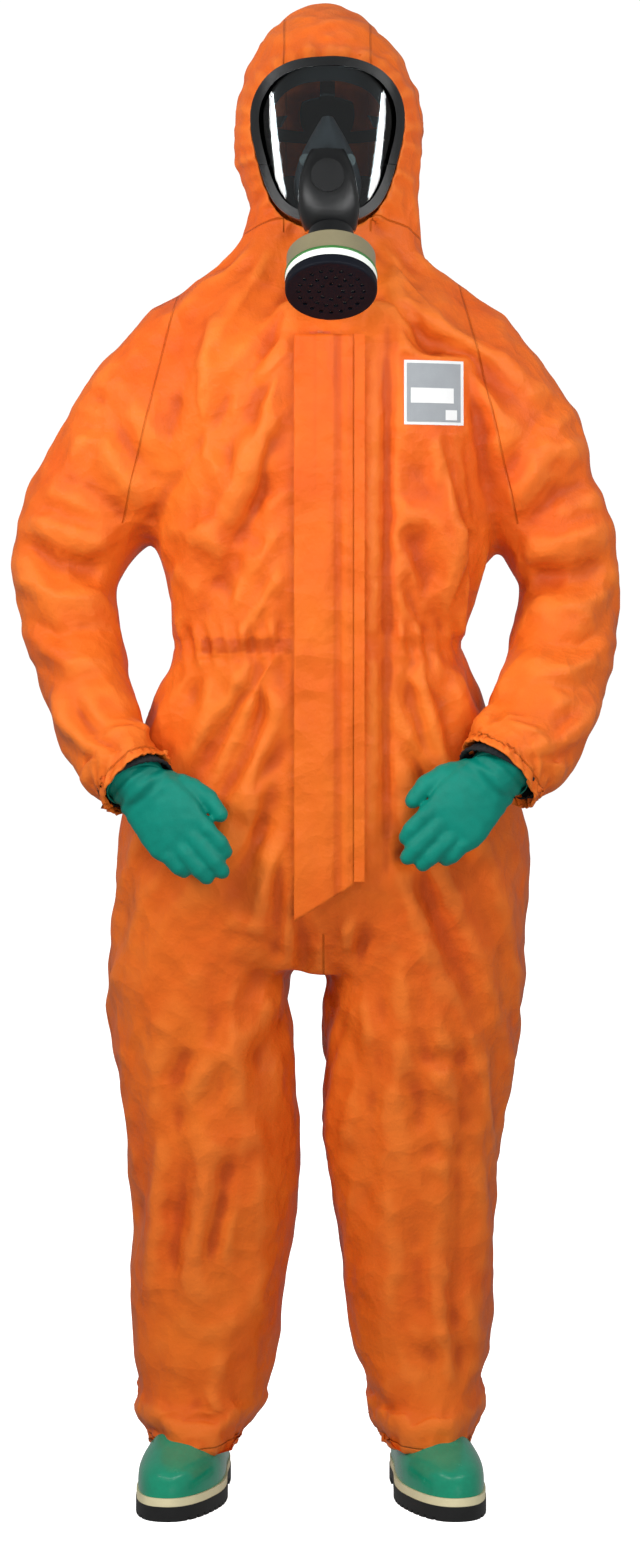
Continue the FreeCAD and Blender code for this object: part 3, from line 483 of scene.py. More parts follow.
class Graph:
    """Short names for wiring a material."""

    def __init__(self, made):
        self.tree = made.node_tree
        self.shader = self.tree.nodes["Principled BSDF"]
        self.where = self.add("ShaderNodeTexCoord").outputs["Object"]

    def add(self, kind, **settings):
        node = self.tree.nodes.new(kind)
        for key, value in settings.items():
            setattr(node, key, value)
        return node

    def link(self, source, target):
        self.tree.links.new(source, target)

    def noise(self, scale, detail=3.0, roughness=0.5, distortion=0.0, kind="FBM", vector=None):
        node = self.add("ShaderNodeTexNoise", noise_type=kind)
        node.inputs["Scale"].default_value = scale
        node.inputs["Detail"].default_value = detail
        node.inputs["Roughness"].default_value = roughness
        node.inputs["Distortion"].default_value = distortion
        self.link(vector or self.where, node.inputs["Vector"])
        return node.outputs["Fac"]

    def cells(self, scale, vector=None, feature="F1"):
        node = self.add("ShaderNodeTexVoronoi", feature=feature)
        node.inputs["Scale"].default_value = scale
        self.link(vector or self.where, node.inputs["Vector"])
        return node.outputs["Distance"]

    def wave(self, period, way):
        """Parallel ridges, period in millimetres, way X, Y or Z."""
        node = self.add("ShaderNodeTexWave", bands_direction=way)
        node.inputs["Scale"].default_value = 314.0 / period
        node.inputs["Distortion"].default_value = 0.6
        self.link(self.where, node.inputs["Vector"])
        return node.outputs["Fac"]

    def math(self, operation, a, b=None, c=None):
        node = self.add("ShaderNodeMath", operation=operation)
        for slot, value in enumerate((a, b, c)):
            if value is None:
                continue
            if isinstance(value, (int, float)):
                node.inputs[slot].default_value = value
            else:
                self.link(value, node.inputs[slot])
        return node.outputs[0]

    def span(self, value, start, end, top=1.0):
        """0 at start rising to top at end."""
        node = self.add("ShaderNodeMapRange", interpolation_type="SMOOTHSTEP")
        self.link(value, node.inputs["Value"])
        node.inputs["From Min"].default_value = start
        node.inputs["From Max"].default_value = end
        node.inputs["To Max"].default_value = top
        return node.outputs["Result"]

    def warped(self, scale, amount):
        noise = self.add("ShaderNodeTexNoise")
        noise.inputs["Scale"].default_value = scale
        self.link(self.where, noise.inputs["Vector"])
        mix = self.add("ShaderNodeVectorMath", operation="MULTIPLY_ADD")
        mix.inputs[1].default_value = (amount, amount, amount)
        self.link(noise.outputs["Color"], mix.inputs[0])
        self.link(self.where, mix.inputs[2])
        return mix.outputs[0]

    def bump(self, height, distance, strength=1.0):
        node = self.add("ShaderNodeBump")
        node.inputs["Distance"].default_value = distance
        node.inputs["Strength"].default_value = strength
        self.link(height, node.inputs["Height"])
        self.link(node.outputs["Normal"], self.shader.inputs["Normal"])

    def attribute(self, name):
        return self.add("ShaderNodeAttribute", attribute_name=name).outputs["Fac"]

    def ramp(self, factor, low_color, high_color, low=0.3, high=0.7):
        node = self.add("ShaderNodeValToRGB")
        node.color_ramp.elements[0].position = low
        node.color_ramp.elements[0].color = (*low_color, 1)
        node.color_ramp.elements[1].position = high
        node.color_ramp.elements[1].color = (*high_color, 1)
        self.link(factor, node.inputs["Fac"])
        return node.outputs["Color"]

    def mix(self, factor, a, b):
        node = self.add("ShaderNodeMix", data_type="RGBA")
        self.link(factor, node.inputs["Factor"])
        for slot, value in ((6, a), (7, b)):
            if isinstance(value, tuple):
                node.inputs[slot].default_value = (*value, 1)
            else:
                self.link(value, node.inputs[slot])
        return node.outputs[2]


def fabric_material(name, color, light, seams=True, paint_fold_shading=True):
    """Crisp laminated cloth: crumpled facets, fine crinkle, dark stitched seam lines, and optionally
    painted shade in the folds' hollows with a painted highlight on their ridges.
    """
    made = node_material(name, color, 0.5, specular=0.22)
    g = Graph(made)
    warp = g.warped(9.0, 0.05)
    facets = g.math("MULTIPLY", g.cells(15.0, warp), 1.0)
    small = g.math("MULTIPLY", g.cells(38.0, warp), 0.28)
    crinkle = g.math("MULTIPLY", g.noise(95.0, 5.0, 0.62), 0.20)
    height = g.math("ADD", g.math("ADD", facets, small), crinkle)
    tone = g.ramp(g.noise(6.0, 4.0, 0.6), color, light, 0.35, 0.72)
    if seams:
        line = g.math("ABSOLUTE", g.attribute("seam"))
        near = g.math("SUBTRACT", 1.0, g.math("SMOOTH_MIN", g.math("DIVIDE", line, 1.6), 1.0, 0.1))
        near = g.math("MAXIMUM", near, 0.0)
        tone = g.mix(g.math("MULTIPLY", near, 0.17), tone, tuple(0.35 * c for c in color))
        height = g.math("SUBTRACT", height, g.math("MULTIPLY", near, 0.25))
    # painted shade: the colour darkens where the point attribute says the cloth lies in a fold's hollow
    if paint_fold_shading:
        depth = g.attribute("painted_shading")
        uneven = g.math("MULTIPLY_ADD", g.noise(11.0, 2.0), 0.9, 0.3)
        shadow = g.math("MULTIPLY", g.span(depth, 0.2, 3.4, 0.62), uneven)
        tone = g.mix(shadow, tone, tuple(c * k for c, k in zip(color, (0.50, 0.26, 0.5))))
        # painted highlight: a lighter orange on the folds' ridges, where the attribute is below zero
        tone = g.mix(g.span(depth, -0.4, -3.0, 0.40), tone, (0.86, 0.22, 0.032))
    g.link(tone, g.shader.inputs["Base Color"])
    g.bump(height, 0.009, 0.9)
    rough = g.math("ADD", 0.38, g.math("MULTIPLY", g.noise(40.0, 3.0), 0.2))
    g.link(rough, g.shader.inputs["Roughness"])
    return made


def surface(name, color, roughness, grain=1.0, relief=0.2, tone=0.12, weave=0.0, ways="XZ", **shine):
    """Colour, gloss and relief all vary finely: grain, relief and weave are in millimetres."""
    made = node_material(name, color, roughness, **shine)
    g = Graph(made)
    patches = g.noise(55.0, 4.0, 0.6)
    fine = g.noise(1000.0 / grain, 3.0, 0.6)
    dark = tuple(c * (1 - tone) for c in color)
    light = tuple(min(1.0, c * (1 + tone)) for c in color)
    shade = g.math("ADD", g.math("MULTIPLY", patches, 0.65), g.math("MULTIPLY", fine, 0.35))
    height = fine
    for way in ways if weave else "":
        threads = g.wave(weave, way)
        height = g.math("ADD", height, g.math("MULTIPLY", threads, 0.8))
        shade = g.math("ADD", g.math("MULTIPLY", shade, 0.8), g.math("MULTIPLY", threads, 0.2))
    g.link(g.ramp(shade, dark, light, 0.3, 0.7), g.shader.inputs["Base Color"])
    spot = g.math("MULTIPLY_ADD", patches, 0.3 * roughness, 0.85 * roughness)
    g.link(spot, g.shader.inputs["Roughness"])
    g.bump(height, relief * 0.001, 0.6)
    return made


ORANGE = (0.67, 0.100, 0.009)
ORANGE_LIGHT = (0.76, 0.158, 0.015)
M = {
    "cloth": fabric_material("suit cloth", ORANGE, ORANGE_LIGHT),
    "flap": fabric_material("flap cloth", ORANGE, ORANGE_LIGHT, seams=False),
    "strip": fabric_material("seam strip", ORANGE, ORANGE_LIGHT, seams=False, paint_fold_shading=False),
    "zip": surface("zip tape", (0.62, 0.08, 0.008), 0.6, weave=0.9),
    "slider": surface("zip enamel", (0.55, 0.09, 0.01), 0.35, relief=0.05, coat=0.4),
    "film": surface("adhesive film", (0.85, 0.84, 0.78), 0.3, grain=3.0, relief=0.1, tone=0.05),
    "glove": surface("glove rubber", (0.0012, 0.205, 0.152), 0.48, 1.6, 0.35, 0.14, specular=0.28),
    "boot": surface("boot rubber", (0.002, 0.27, 0.15), 0.26, 5.0, 0.25, 0.12, coat=0.4),
    "welt": surface("welt rubber", (0.80, 0.72, 0.45), 0.45, tone=0.08),
    "sole": surface("sole rubber", (0.012, 0.012, 0.012), 0.6, 0.8, 0.3, 0.3),
    "dark": surface("mask plastic", (0.004, 0.0045, 0.005), 0.36, 0.7, 0.12, 0.25, specular=0.45),
    "rubber": surface("mask rubber", (0.006, 0.006, 0.007), 0.5, 1.2, 0.2, 0.3),
    "cap": surface("canister cap", (0.004, 0.005, 0.009), 0.55, 0.8, 0.15, 0.25, specular=0.15),
    "stripe": surface("canister stripe", (0.03, 0.16, 0.03), 0.4, relief=0.05),
    "cup": surface("nose cup", (0.10, 0.095, 0.10), 0.45, 1.5, 0.2, 0.2),
    "valve": surface("valve rubber", (0.4, 0.4, 0.38), 0.5, relief=0.1),
    "knit": surface("cuff knit", (0.012, 0.014, 0.016), 0.9, 1.2, 0.6, 0.5, weave=1.6, ways="Z"),
    "canister": surface("canister enamel", (0.20, 0.175, 0.10), 0.38, 1.4, 0.06, 0.07, coat=0.2),
    "white": surface("canister band", (0.82, 0.85, 0.80), 0.35, relief=0.06, tone=0.04),
    "paper": surface("filter medium", (0.80, 0.78, 0.70), 0.8, 1.0, 0.4, 0.10),
    "carbon": surface("carbon grains", (0.012, 0.012, 0.012), 0.85, 1.6, 1.2, 0.6),
    "steel": surface("steel", (0.6, 0.6, 0.62), 0.3, 0.5, 0.05, 0.08, metallic=1.0),
    "felt": surface("insole felt", (0.05, 0.05, 0.055), 0.9, 0.6, 0.5, 0.35),
    "label": surface("label cloth", (0.30, 0.32, 0.34), 0.6, 0.6, 0.15, 0.12, weave=0.8),
    "label_edge": surface("label border", (0.75, 0.76, 0.76), 0.6, 0.6, 0.15, 0.06, weave=0.8),
}


def lens_material():
    made = node_material("visor lens", (1, 1, 1), 0.02)
    nodes, links = made.node_tree.nodes, made.node_tree.links
    clear = nodes.new("ShaderNodeBsdfTransparent")
    clear.inputs["Color"].default_value = (0.72, 0.78, 0.80, 1)
    gloss = nodes.new("ShaderNodeBsdfGlossy")
    gloss.inputs["Roughness"].default_value = 0.03
    fresnel = nodes.new("ShaderNodeFresnel")
    fresnel.inputs["IOR"].default_value = 1.58
    mix = nodes.new("ShaderNodeMixShader")
    links.new(fresnel.outputs[0], mix.inputs[0])
    links.new(clear.outputs[0], mix.inputs[1])
    links.new(gloss.outputs[0], mix.inputs[2])
    links.new(mix.outputs[0], nodes["Material Output"].inputs["Surface"])
    return made


M["lens"] = lens_material()


def dress(obj, key, smooth_angle=None):
    """Gives an object one material, and smooth shading up to an angle in degrees."""
    obj.data.materials.clear()
    obj.data.materials.append(M[key])
    if smooth_angle:
        with bpy.context.temp_override(object=obj, active_object=obj, selected_editable_objects=[obj]):
            bpy.ops.object.shade_smooth_by_angle(angle=math.radians(smooth_angle))


# ---------------------------------------------------------------- folds
# Each fold is a line seen from the front or back: x and z points in millimetres, height of the
# ridge (negative for a valley) and its half width.
FRONT_FOLDS = [
    # right shoulder and armpit
    ([(-150, 1470), (-172, 1400), (-176, 1330), (-168, 1260)], -9, 12),
    ([(-128, 1462), (-140, 1400), (-150, 1330)], 7, 13),
    ([(-208, 1440), (-196, 1380), (-200, 1310)], 8, 12),
    ([(-232, 1420), (-222, 1360), (-232, 1300)], -7, 10),
    ([(-104, 1440), (-112, 1380), (-98, 1310), (-88, 1250)], 6, 12),
    ([(-70, 1420), (-82, 1340), (-76, 1260)], -5, 10),
    ([(-140, 1290), (-110, 1230), (-84, 1190)], 6, 10),
    ([(-170, 1210), (-130, 1180), (-80, 1150)], 6, 11),
    ([(-176, 1180), (-140, 1140), (-96, 1110)], -6, 10),
    ([(-60, 1230), (-90, 1170), (-70, 1120)], 5, 9),
    # left shoulder and armpit
    ([(120, 1470), (150, 1400), (168, 1320), (170, 1250)], -8, 12),
    ([(92, 1450), (112, 1370), (118, 1290)], 6, 12),
    ([(186, 1450), (190, 1380), (204, 1300)], 7, 12),
    ([(196, 1250), (160, 1180), (130, 1110), (110, 1070)], 8, 12),
    ([(200, 1210), (176, 1150), (150, 1090)], -7, 10),
    ([(180, 1290), (140, 1220), (104, 1150)], -5, 12),
    ([(70, 1300), (84, 1220), (70, 1130)], 6, 11),
    ([(60, 1440), (66, 1340), (62, 1230)], -5, 10),
    # waist and below
    ([(-176, 1052), (-120, 1048), (-40, 1046)], -5, 5),
    ([(-120, 1030), (-84, 1000), (-96, 960)], 6, 9),
    ([(-76, 1036), (-60, 990), (-44, 960)], 6, 9),
    ([(-92, 1002), (-66, 970), (-88, 930)], -5, 8),
    ([(-150, 1036), (-140, 980), (-160, 920)], 6, 10),
    ([(-60, 940), (-90, 900), (-70, 850)], 6, 11),
    ([(150, 1060), (126, 1000), (140, 930)], 7, 10),
    ([(118, 1070), (104, 1010), (92, 950)], -6, 9),
    ([(90, 1076), (76, 1020), (84, 960)], 6, 9),
    ([(176, 1040), (164, 980), (170, 920)], 6, 10),
    ([(66, 940), (104, 880), (90, 820)], 6, 11),
    ([(130, 860), (100, 800), (70, 760)], -6, 11),
    ([(60, 1060), (56, 990), (60, 930)], 5, 8),
    # crotch
    ([(-30, 690), (-60, 740), (-100, 780)], 8, 11),
    ([(-34, 676), (-80, 700), (-140, 720)], -7, 11),
    ([(20, 690), (60, 735), (104, 770)], 8, 11),
    ([(26, 676), (80, 700), (150, 716)], -7, 11),
    ([(-50, 800), (-84, 840), (-130, 870)], -5, 12),
    # right leg
    ([(-44, 660), (-90, 600), (-150, 540), (-200, 500)], 7, 14),
    ([(-40, 620), (-74, 560), (-96, 490)], -6, 12),
    ([(-110, 680), (-112, 600), (-96, 520), (-100, 430)], 6, 13),
    ([(-190, 640), (-204, 540), (-196, 430), (-206, 300), (-200, 190)], 6, 12),
    ([(-168, 600), (-180, 500), (-172, 400), (-184, 280)], -5, 12),
    ([(-130, 470), (-140, 400), (-156, 330), (-150, 260)], 6, 12),
    ([(-116, 450), (-124, 380), (-138, 310)], -6, 9),
    ([(-70, 520), (-76, 420), (-72, 320), (-84, 220)], 5, 13),
    ([(-60, 480), (-110, 450), (-170, 456)], 4, 12),
    ([(-90, 250), (-130, 232), (-180, 244)], 3, 11),
    ([(-120, 220), (-130, 160), (-122, 116)], 4, 11),
    # left leg
    ([(30, 650), (70, 590), (130, 545), (190, 520)], 7, 14),
    ([(24, 610), (50, 540), (60, 460)], -6, 12),
    ([(96, 680), (104, 600), (92, 520), (100, 440)], 6, 13),
    ([(200, 640), (204, 540), (194, 430), (196, 300), (186, 190)], 6, 12),
    ([(176, 600), (180, 500), (170, 400), (174, 280)], -5, 12),
    ([(120, 560), (170, 566), (214, 580)], -4, 9),
    ([(112, 450), (170, 446), (206, 456)], -4, 9),
    ([(80, 420), (92, 330), (84, 240)], 5, 13),
    ([(140, 330), (150, 250), (164, 170)], 6, 11),
    ([(152, 300), (166, 220), (176, 160)], -5, 9),
    ([(100, 240), (140, 224), (180, 232)], 3, 11),
]
ARM_FOLDS = [
    # right arm
    ([(-366, 1190), (-320, 1160), (-268, 1150)], -11, 10),
    ([(-372, 1150), (-320, 1118), (-262, 1116)], 9, 10),
    ([(-360, 1218), (-310, 1200), (-250, 1178)], 9, 11),
    ([(-364, 1100), (-320, 1078), (-262, 1086)], -8, 9),
    ([(-350, 1060), (-300, 1040), (-250, 1050)], 7, 10),
    ([(-330, 1280), (-280, 1250), (-226, 1206)], -9, 12),
    ([(-318, 1320), (-270, 1300), (-214, 1240)], 8, 12),
    ([(-290, 1380), (-250, 1340), (-216, 1270)], -7, 12),
    ([(-330, 1010), (-300, 960), (-260, 930)], 7, 11),
    ([(-300, 1000), (-270, 950), (-236, 930)], -6, 9),
    # left arm
    ([(368, 1170), (320, 1150), (262, 1140)], -12, 10),
    ([(370, 1130), (320, 1110), (256, 1108)], 10, 10),
    ([(356, 1206), (310, 1190), (246, 1160)], 9, 11),
    ([(366, 1090), (320, 1068), (256, 1074)], -9, 9),
    ([(352, 1048), (300, 1034), (240, 1044)], 8, 10),
    ([(344, 1270), (290, 1240), (236, 1190)], -10, 12),
    ([(330, 1310), (284, 1290), (230, 1230)], 9, 12),
    ([(300, 1370), (262, 1330), (226, 1260)], -8, 12),
    ([(340, 1000), (300, 960), (250, 940)], 7, 11),
    ([(310, 990), (276, 950), (240, 940)], -6, 9),
]
PLACKET_FOLDS = [  # beside the flap's sewn edge
    ([(80, 1424), (80, 1300), (80, 1180), (79, 1000), (76, 780)], -7, 6),
    ([(60, 1424), (60, 1200), (59, 1000), (57, 780)], 4.5, 12),
    ([(97, 1400), (99, 1300), (98, 1180), (94, 1070)], 4, 11),
    ([(-40, 1430), (-42, 1200), (-42, 1000), (-40, 780)], -3, 9),
]
BACK_FOLDS = [
    ([(-150, 1460), (-130, 1380), (-140, 1300)], -8, 13),
    ([(150, 1460), (134, 1380), (146, 1300)], -8, 13),
    ([(-110, 1440), (-90, 1340), (-104, 1240)], 7, 14),
    ([(110, 1440), (96, 1340), (108, 1240)], 7, 14),
    ([(-60, 1300), (-40, 1200), (-56, 1110)], -6, 13),
    ([(66, 1300), (46, 1200), (60, 1110)], -6, 13),
    ([(-180, 1220), (-120, 1170), (-60, 1160), (0, 1180)], 8, 13),
    ([(190, 1220), (130, 1170), (70, 1160), (10, 1176)], 8, 13),
    ([(-150, 1030), (-140, 940), (-150, 860)], 7, 13),
    ([(150, 1030), (140, 940), (150, 860)], 7, 13),
    ([(-80, 1030), (-76, 950), (-90, 870)], -6, 12),
    ([(80, 1030), (76, 950), (88, 870)], -6, 12),
    ([(0, 1030), (6, 950), (-4, 880)], 6, 12),
    ([(-200, 790), (-120, 750), (-40, 720)], -8, 13),
    ([(200, 790), (120, 750), (30, 720)], -8, 13),
    ([(-200, 720), (-130, 690), (-60, 640)], 9, 13),
    ([(200, 720), (130, 690), (50, 640)], 9, 13),
    ([(-210, 600), (-140, 560), (-60, 580)], 7, 13),
    ([(210, 600), (140, 560), (40, 580)], 7, 13),
    ([(-220, 520), (-140, 492), (-50, 516)], -9, 12),
    ([(214, 520), (130, 492), (30, 516)], -9, 12),
    ([(-220, 470), (-140, 446), (-50, 466)], 9, 12),
    ([(212, 470), (130, 446), (40, 466)], 9, 12),
    ([(-200, 420), (-130, 400), (-60, 420)], -6, 11),
    ([(200, 420), (130, 400), (60, 420)], -6, 11),
    ([(-140, 360), (-150, 280), (-136, 200)], 7, 13),
    ([(130, 360), (140, 280), (126, 200)], 7, 13),
    ([(-210, 190), (-140, 164), (-80, 180)], 7, 11),
    ([(200, 190), (130, 164), (70, 180)], 7, 11),
    ([(-60, 1700), (-40, 1620), (-60, 1560)], -5, 12),
    ([(76, 1700), (60, 1620), (76, 1560)], -5, 12),
    ([(10, 1650), (14, 1590), (8, 1540)], 6, 12),
]


def polyline_profile(x, z, points, width):
    """Ridge height from 0 to 1 beside a polyline, fading at its ends, with softer valleys beside it."""
    points = np.asarray(points, float)
    lengths = np.hypot(*np.diff(points, axis=0).T)
    total, start = lengths.sum(), 0.0
    best = np.full(len(x), 1e9)
    place = np.zeros(len(x))
    for (a, b), length in zip(zip(points, points[1:]), lengths):
        dx, dz = b - a
        t = np.clip(((x - a[0]) * dx + (z - a[1]) * dz) / (dx * dx + dz * dz), 0, 1)
        d = np.hypot(x - a[0] - t * dx, z - a[1] - t * dz)
        closer = d < best
        best = np.where(closer, d, best)
        place = np.where(closer, (start + t * length) / total, place)
        start += length
    fade = np.clip(np.minimum(place, 1 - place) * 5 + 0.12, 0, 1)
    sharp = np.exp(-((best / width) ** 1.5))
    dip = 0.45 * np.exp(-(((best - 2.1 * width) / (0.9 * width)) ** 2))
    return (sharp - dip) * fade


def fold_heights(points, folds):
    """Millimetres out along the normal, from a list of folds."""
    x, z = points[:, 0] * 1000 - SHIFT[0], points[:, 2] * 1000
    total = np.zeros(len(points))
    for line, height, width in folds:
        total += height * polyline_profile(x, z, line, width)
    return total


def crumple(points, size, seed, stretch=(1.0, 1.0, 1.0)):
    """Facets like crushed film: 0 at the middle of each cell, larger towards its creases."""
    random = np.random.default_rng(seed)
    scaled = points * 1000 / size / np.array(stretch)
    low, high = scaled.min(0) - 1, scaled.max(0) + 1
    grid = np.stack(
        np.meshgrid(*[np.arange(a, b) for a, b in zip(low, high)], indexing="ij"), -1
    ).reshape(-1, 3)
    seeds = grid + random.uniform(0, 1, grid.shape)
    near = KDTree(len(scaled[::37]))
    for i, p in enumerate(scaled[::37]):
        near.insert(p, i)
    near.balance()
    seeds = [s for s in seeds if near.find(s)[2] < 1.3]
    tree = KDTree(len(seeds))
    for i, s in enumerate(seeds):
        tree.insert(s, i)
    tree.balance()
    return np.array([tree.find(p)[2] for p in scaled])


def gathers(points, way_from, height):
    """Pleats round a gathered edge: a wave of the angle round an axis point."""
    angle = np.arctan2(points[:, 1] - way_from[1], points[:, 0] - way_from[0])
    wave = np.sin(angle * 23) + 0.7 * np.sin(angle * 37 + 1.3) + 0.5 * np.sin(angle * 13 + 0.4)
    return wave * height


# ---------------------------------------------------------------- coverall
ARM_CLEAR = 110.0  # how far the forearms are held off the hips while the skin is made
SIDES = (("right", -1), ("left", 1))
TRUNK_Z = [row[0] for row in TORSO]
TRUNK_HALF = {"right": [-row[1] for row in TORSO], "left": [row[2] for row in TORSO]}


def arm_shift(z):
    return ARM_CLEAR * (1 - smoothstep(z, 950, 1140))


def coverall_base():
    """The suit's closed skin before it is cut open, with an attribute that marks its arms."""
    parts = [tube(level_rows(TORSO)), tube(level_rows(HOOD))]
    for side, sign in SIDES:
        parts.append(tube(longer(leg_rows(LEGS[side]), 6)))
        points, faces = tube(longer(sleeve_rows(SLEEVES[side]), 26))
        points[:, 0] += sign * arm_shift(points[:, 2])
        parts.append((points, faces))
    suit = new_object("suit", *joined(parts))
    remeshed(suit, VOXEL)
    relaxed(suit, 14)
    points = coords(suit)
    x, _, z = about_wearer(points)
    arm = np.zeros(len(points))
    for side, sign in SIDES:
        beside = np.interp(z, TRUNK_Z, TRUNK_HALF[side]) + np.where(z > 1130, 3, 25)
        beside = np.where(z > 1190, np.interp(z, [1190, 1204], [206, 150]), beside)
        arm[(sign * x > beside) & (z > 820) & (z < 1512)] = sign
        held = (sign * x > beside) & (z > 820) & (z < 1140)
        points[held, 0] -= sign * arm_shift(z[held]) * 0.001
    put_coords(suit, points)
    mark = suit.data.attributes.new("arm", "FLOAT", "POINT")
    mark.data.foreach_set("value", arm.astype(np.float32))
    return suit


def arm_of(suit):
    """1 on the left arm, -1 on the right and 0 elsewhere, at each point."""
    found = np.empty(len(suit.data.vertices), np.float32)
    suit.data.attributes["arm"].data.foreach_get("value", found)
    return found.astype(float)


def cuff_plane(side):
    rows = sleeve_rows(SLEEVES[side])
    centre = np.asarray(rows[-1][0], float)
    way = unit(centre - np.asarray(rows[-2][0], float))
    return centre + way * 4, way


def outline_gradient(distance):
    step = 5e-4

    def gradient(p):
        gx = distance(p + (step, 0, 0)) - distance(p - (step, 0, 0))
        gz = distance(p + (0, 0, step)) - distance(p - (0, 0, step))
        way = np.column_stack([gx, np.zeros(len(p)), gz])
        return way / np.maximum(np.linalg.norm(way, axis=1), 1e-9)[:, None]

    return gradient


def limited(distance, chosen):
    """The distance among the points that chosen picks, and -1, which is left alone, elsewhere."""

    def found(points):
        return np.where(chosen(points), distance(points), -1.0)

    return found


def cut_away(suit, distance, gradient, chosen):
    """Removes what lies past distance 0 among the points that chosen picks."""
    d = snapped(suit, limited(distance, chosen), gradient)
    drop_faces(suit, face_mean(suit, d) > 1e-6)


def open_suit(suit):
    """Cuts the face opening, the cuffs and the trouser hems."""
    loop = mask_loop(2.0)

    def outside(points):
        return -loop_distance(points, loop)

    def in_front(points):
        return points[:, 1] * 1000 - SHIFT[1] < -15

    cut_away(suit, outside, outline_gradient(outside), in_front)
    for side, sign in SIDES:
        cut_away(suit, *plane(*cuff_plane(side)), lambda p: arm_of(suit) * sign > 0.5)
        hem = plane(*HEM_PLANES[side])
        cut_away(suit, *hem, lambda p: (p[:, 2] < 0.2) & (sign * (p[:, 0] + 0.012) > 0))


def keep_largest(suit):
    """Drops every loose scrap, so that one connected skin is left."""
    bm = bmesh.new()
    bm.from_mesh(suit.data)
    bm.verts.ensure_lookup_table()
    seen, parts = set(), []
    for start in bm.verts:
        if start in seen:
            continue
        seen.add(start)
        part, front = [start], [start]
        while front:
            near = {e.other_vert(v) for v in front for e in v.link_edges} - seen
            seen |= near
            part += near
            front = list(near)
        parts.append(part)
    parts.sort(key=len)
    for part in parts[:-1]:
        bmesh.ops.delete(bm, geom=part, context="VERTS")
    bm.to_mesh(suit.data)
    bm.free()


def rim_points(suit):
    """Which points are on an open edge."""
    bm = bmesh.new()
    bm.from_mesh(suit.data)
    found = np.array([v.is_boundary for v in bm.verts])
    bm.free()
    return found


def band(z, low, high, soft):
    """1 between two heights, falling to 0 over soft millimetres."""
    return smoothstep(z, low - soft, low) * (1 - smoothstep(z, high, high + soft))


def calm_zone(points):
    """1 where the cloth lies flat: under the flap, the label, the mask's edge."""
    x, y, z = about_wearer(points)
    front = smoothstep(-y, 60, 110)
    flap = front * (1 - smoothstep(np.abs(x - 24), 62, 76)) * band(z, 735, 1440, 30)
    label = front * (1 - smoothstep(np.abs(x - 137), 36, 56)) * band(z, 1306, 1388, 14)
    distance = np.abs(loop_distance(points, mask_loop(0))) * 1000
    mask = np.where(y < 0, 1 - smoothstep(distance, 6, 34), 0)
    return np.clip(np.maximum.reduce([flap, label, mask]), 0, 1)


def rim_distance(points, arm):
    """Millimetres from each point to the end of its sleeve or trouser leg, 999 elsewhere."""
    at = points * 1000 - SHIFT
    best = np.full(len(points), 999.0)
    for side, sign in SIDES:
        point, way = cuff_plane(side)
        d = -((at - point) @ way)
        best = np.where((arm * sign > 0.5) & (d < 200), np.minimum(best, d), best)
        point, way = HEM_PLANES[side]
        d = -((at - np.array(point)) @ np.array(way))
        best = np.where((at[:, 2] < 260) & (sign * (at[:, 0] + 12) > 0), np.minimum(best, d), best)
    return best


def fold_suit(suit):
    """Large folds: those drawn one by one, then broken facets between them."""
    points, edges, arm = coords(suit), edges_of(suit), np.abs(arm_of(suit)) > 0.5
    normals = spread(normals_of(suit), edges, 3)
    normals /= np.linalg.norm(normals, axis=1)[:, None]
    calm = calm_zone(points)
    front = np.clip(0.5 - 1.8 * normals[:, 1], 0, 1)
    height = fold_heights(points, FRONT_FOLDS) * front * ~arm
    height += fold_heights(points, BACK_FOLDS) * (1 - front) * ~arm
    height += fold_heights(points, ARM_FOLDS) * arm
    coarse = crumple(points, 84, 5, (1.0, 1.0, 1.35))
    hood = smoothstep(points[:, 2] * 1000, 1540, 1600)
    legs = 1 - smoothstep(points[:, 2] * 1000, 480, 640)
    height += (coarse - coarse.mean()) * (13 - 7 * hood - 5 * legs)
    height -= 1.5
    height *= 1 - 0.9 * calm
    height *= 0.35 + 0.65 * smoothstep(rim_distance(points, arm_of(suit)), 0, 30)
    height += fold_heights(points, PLACKET_FOLDS) * front * ~arm
    put_coords(suit, points + normals * height[:, None] * 0.001)


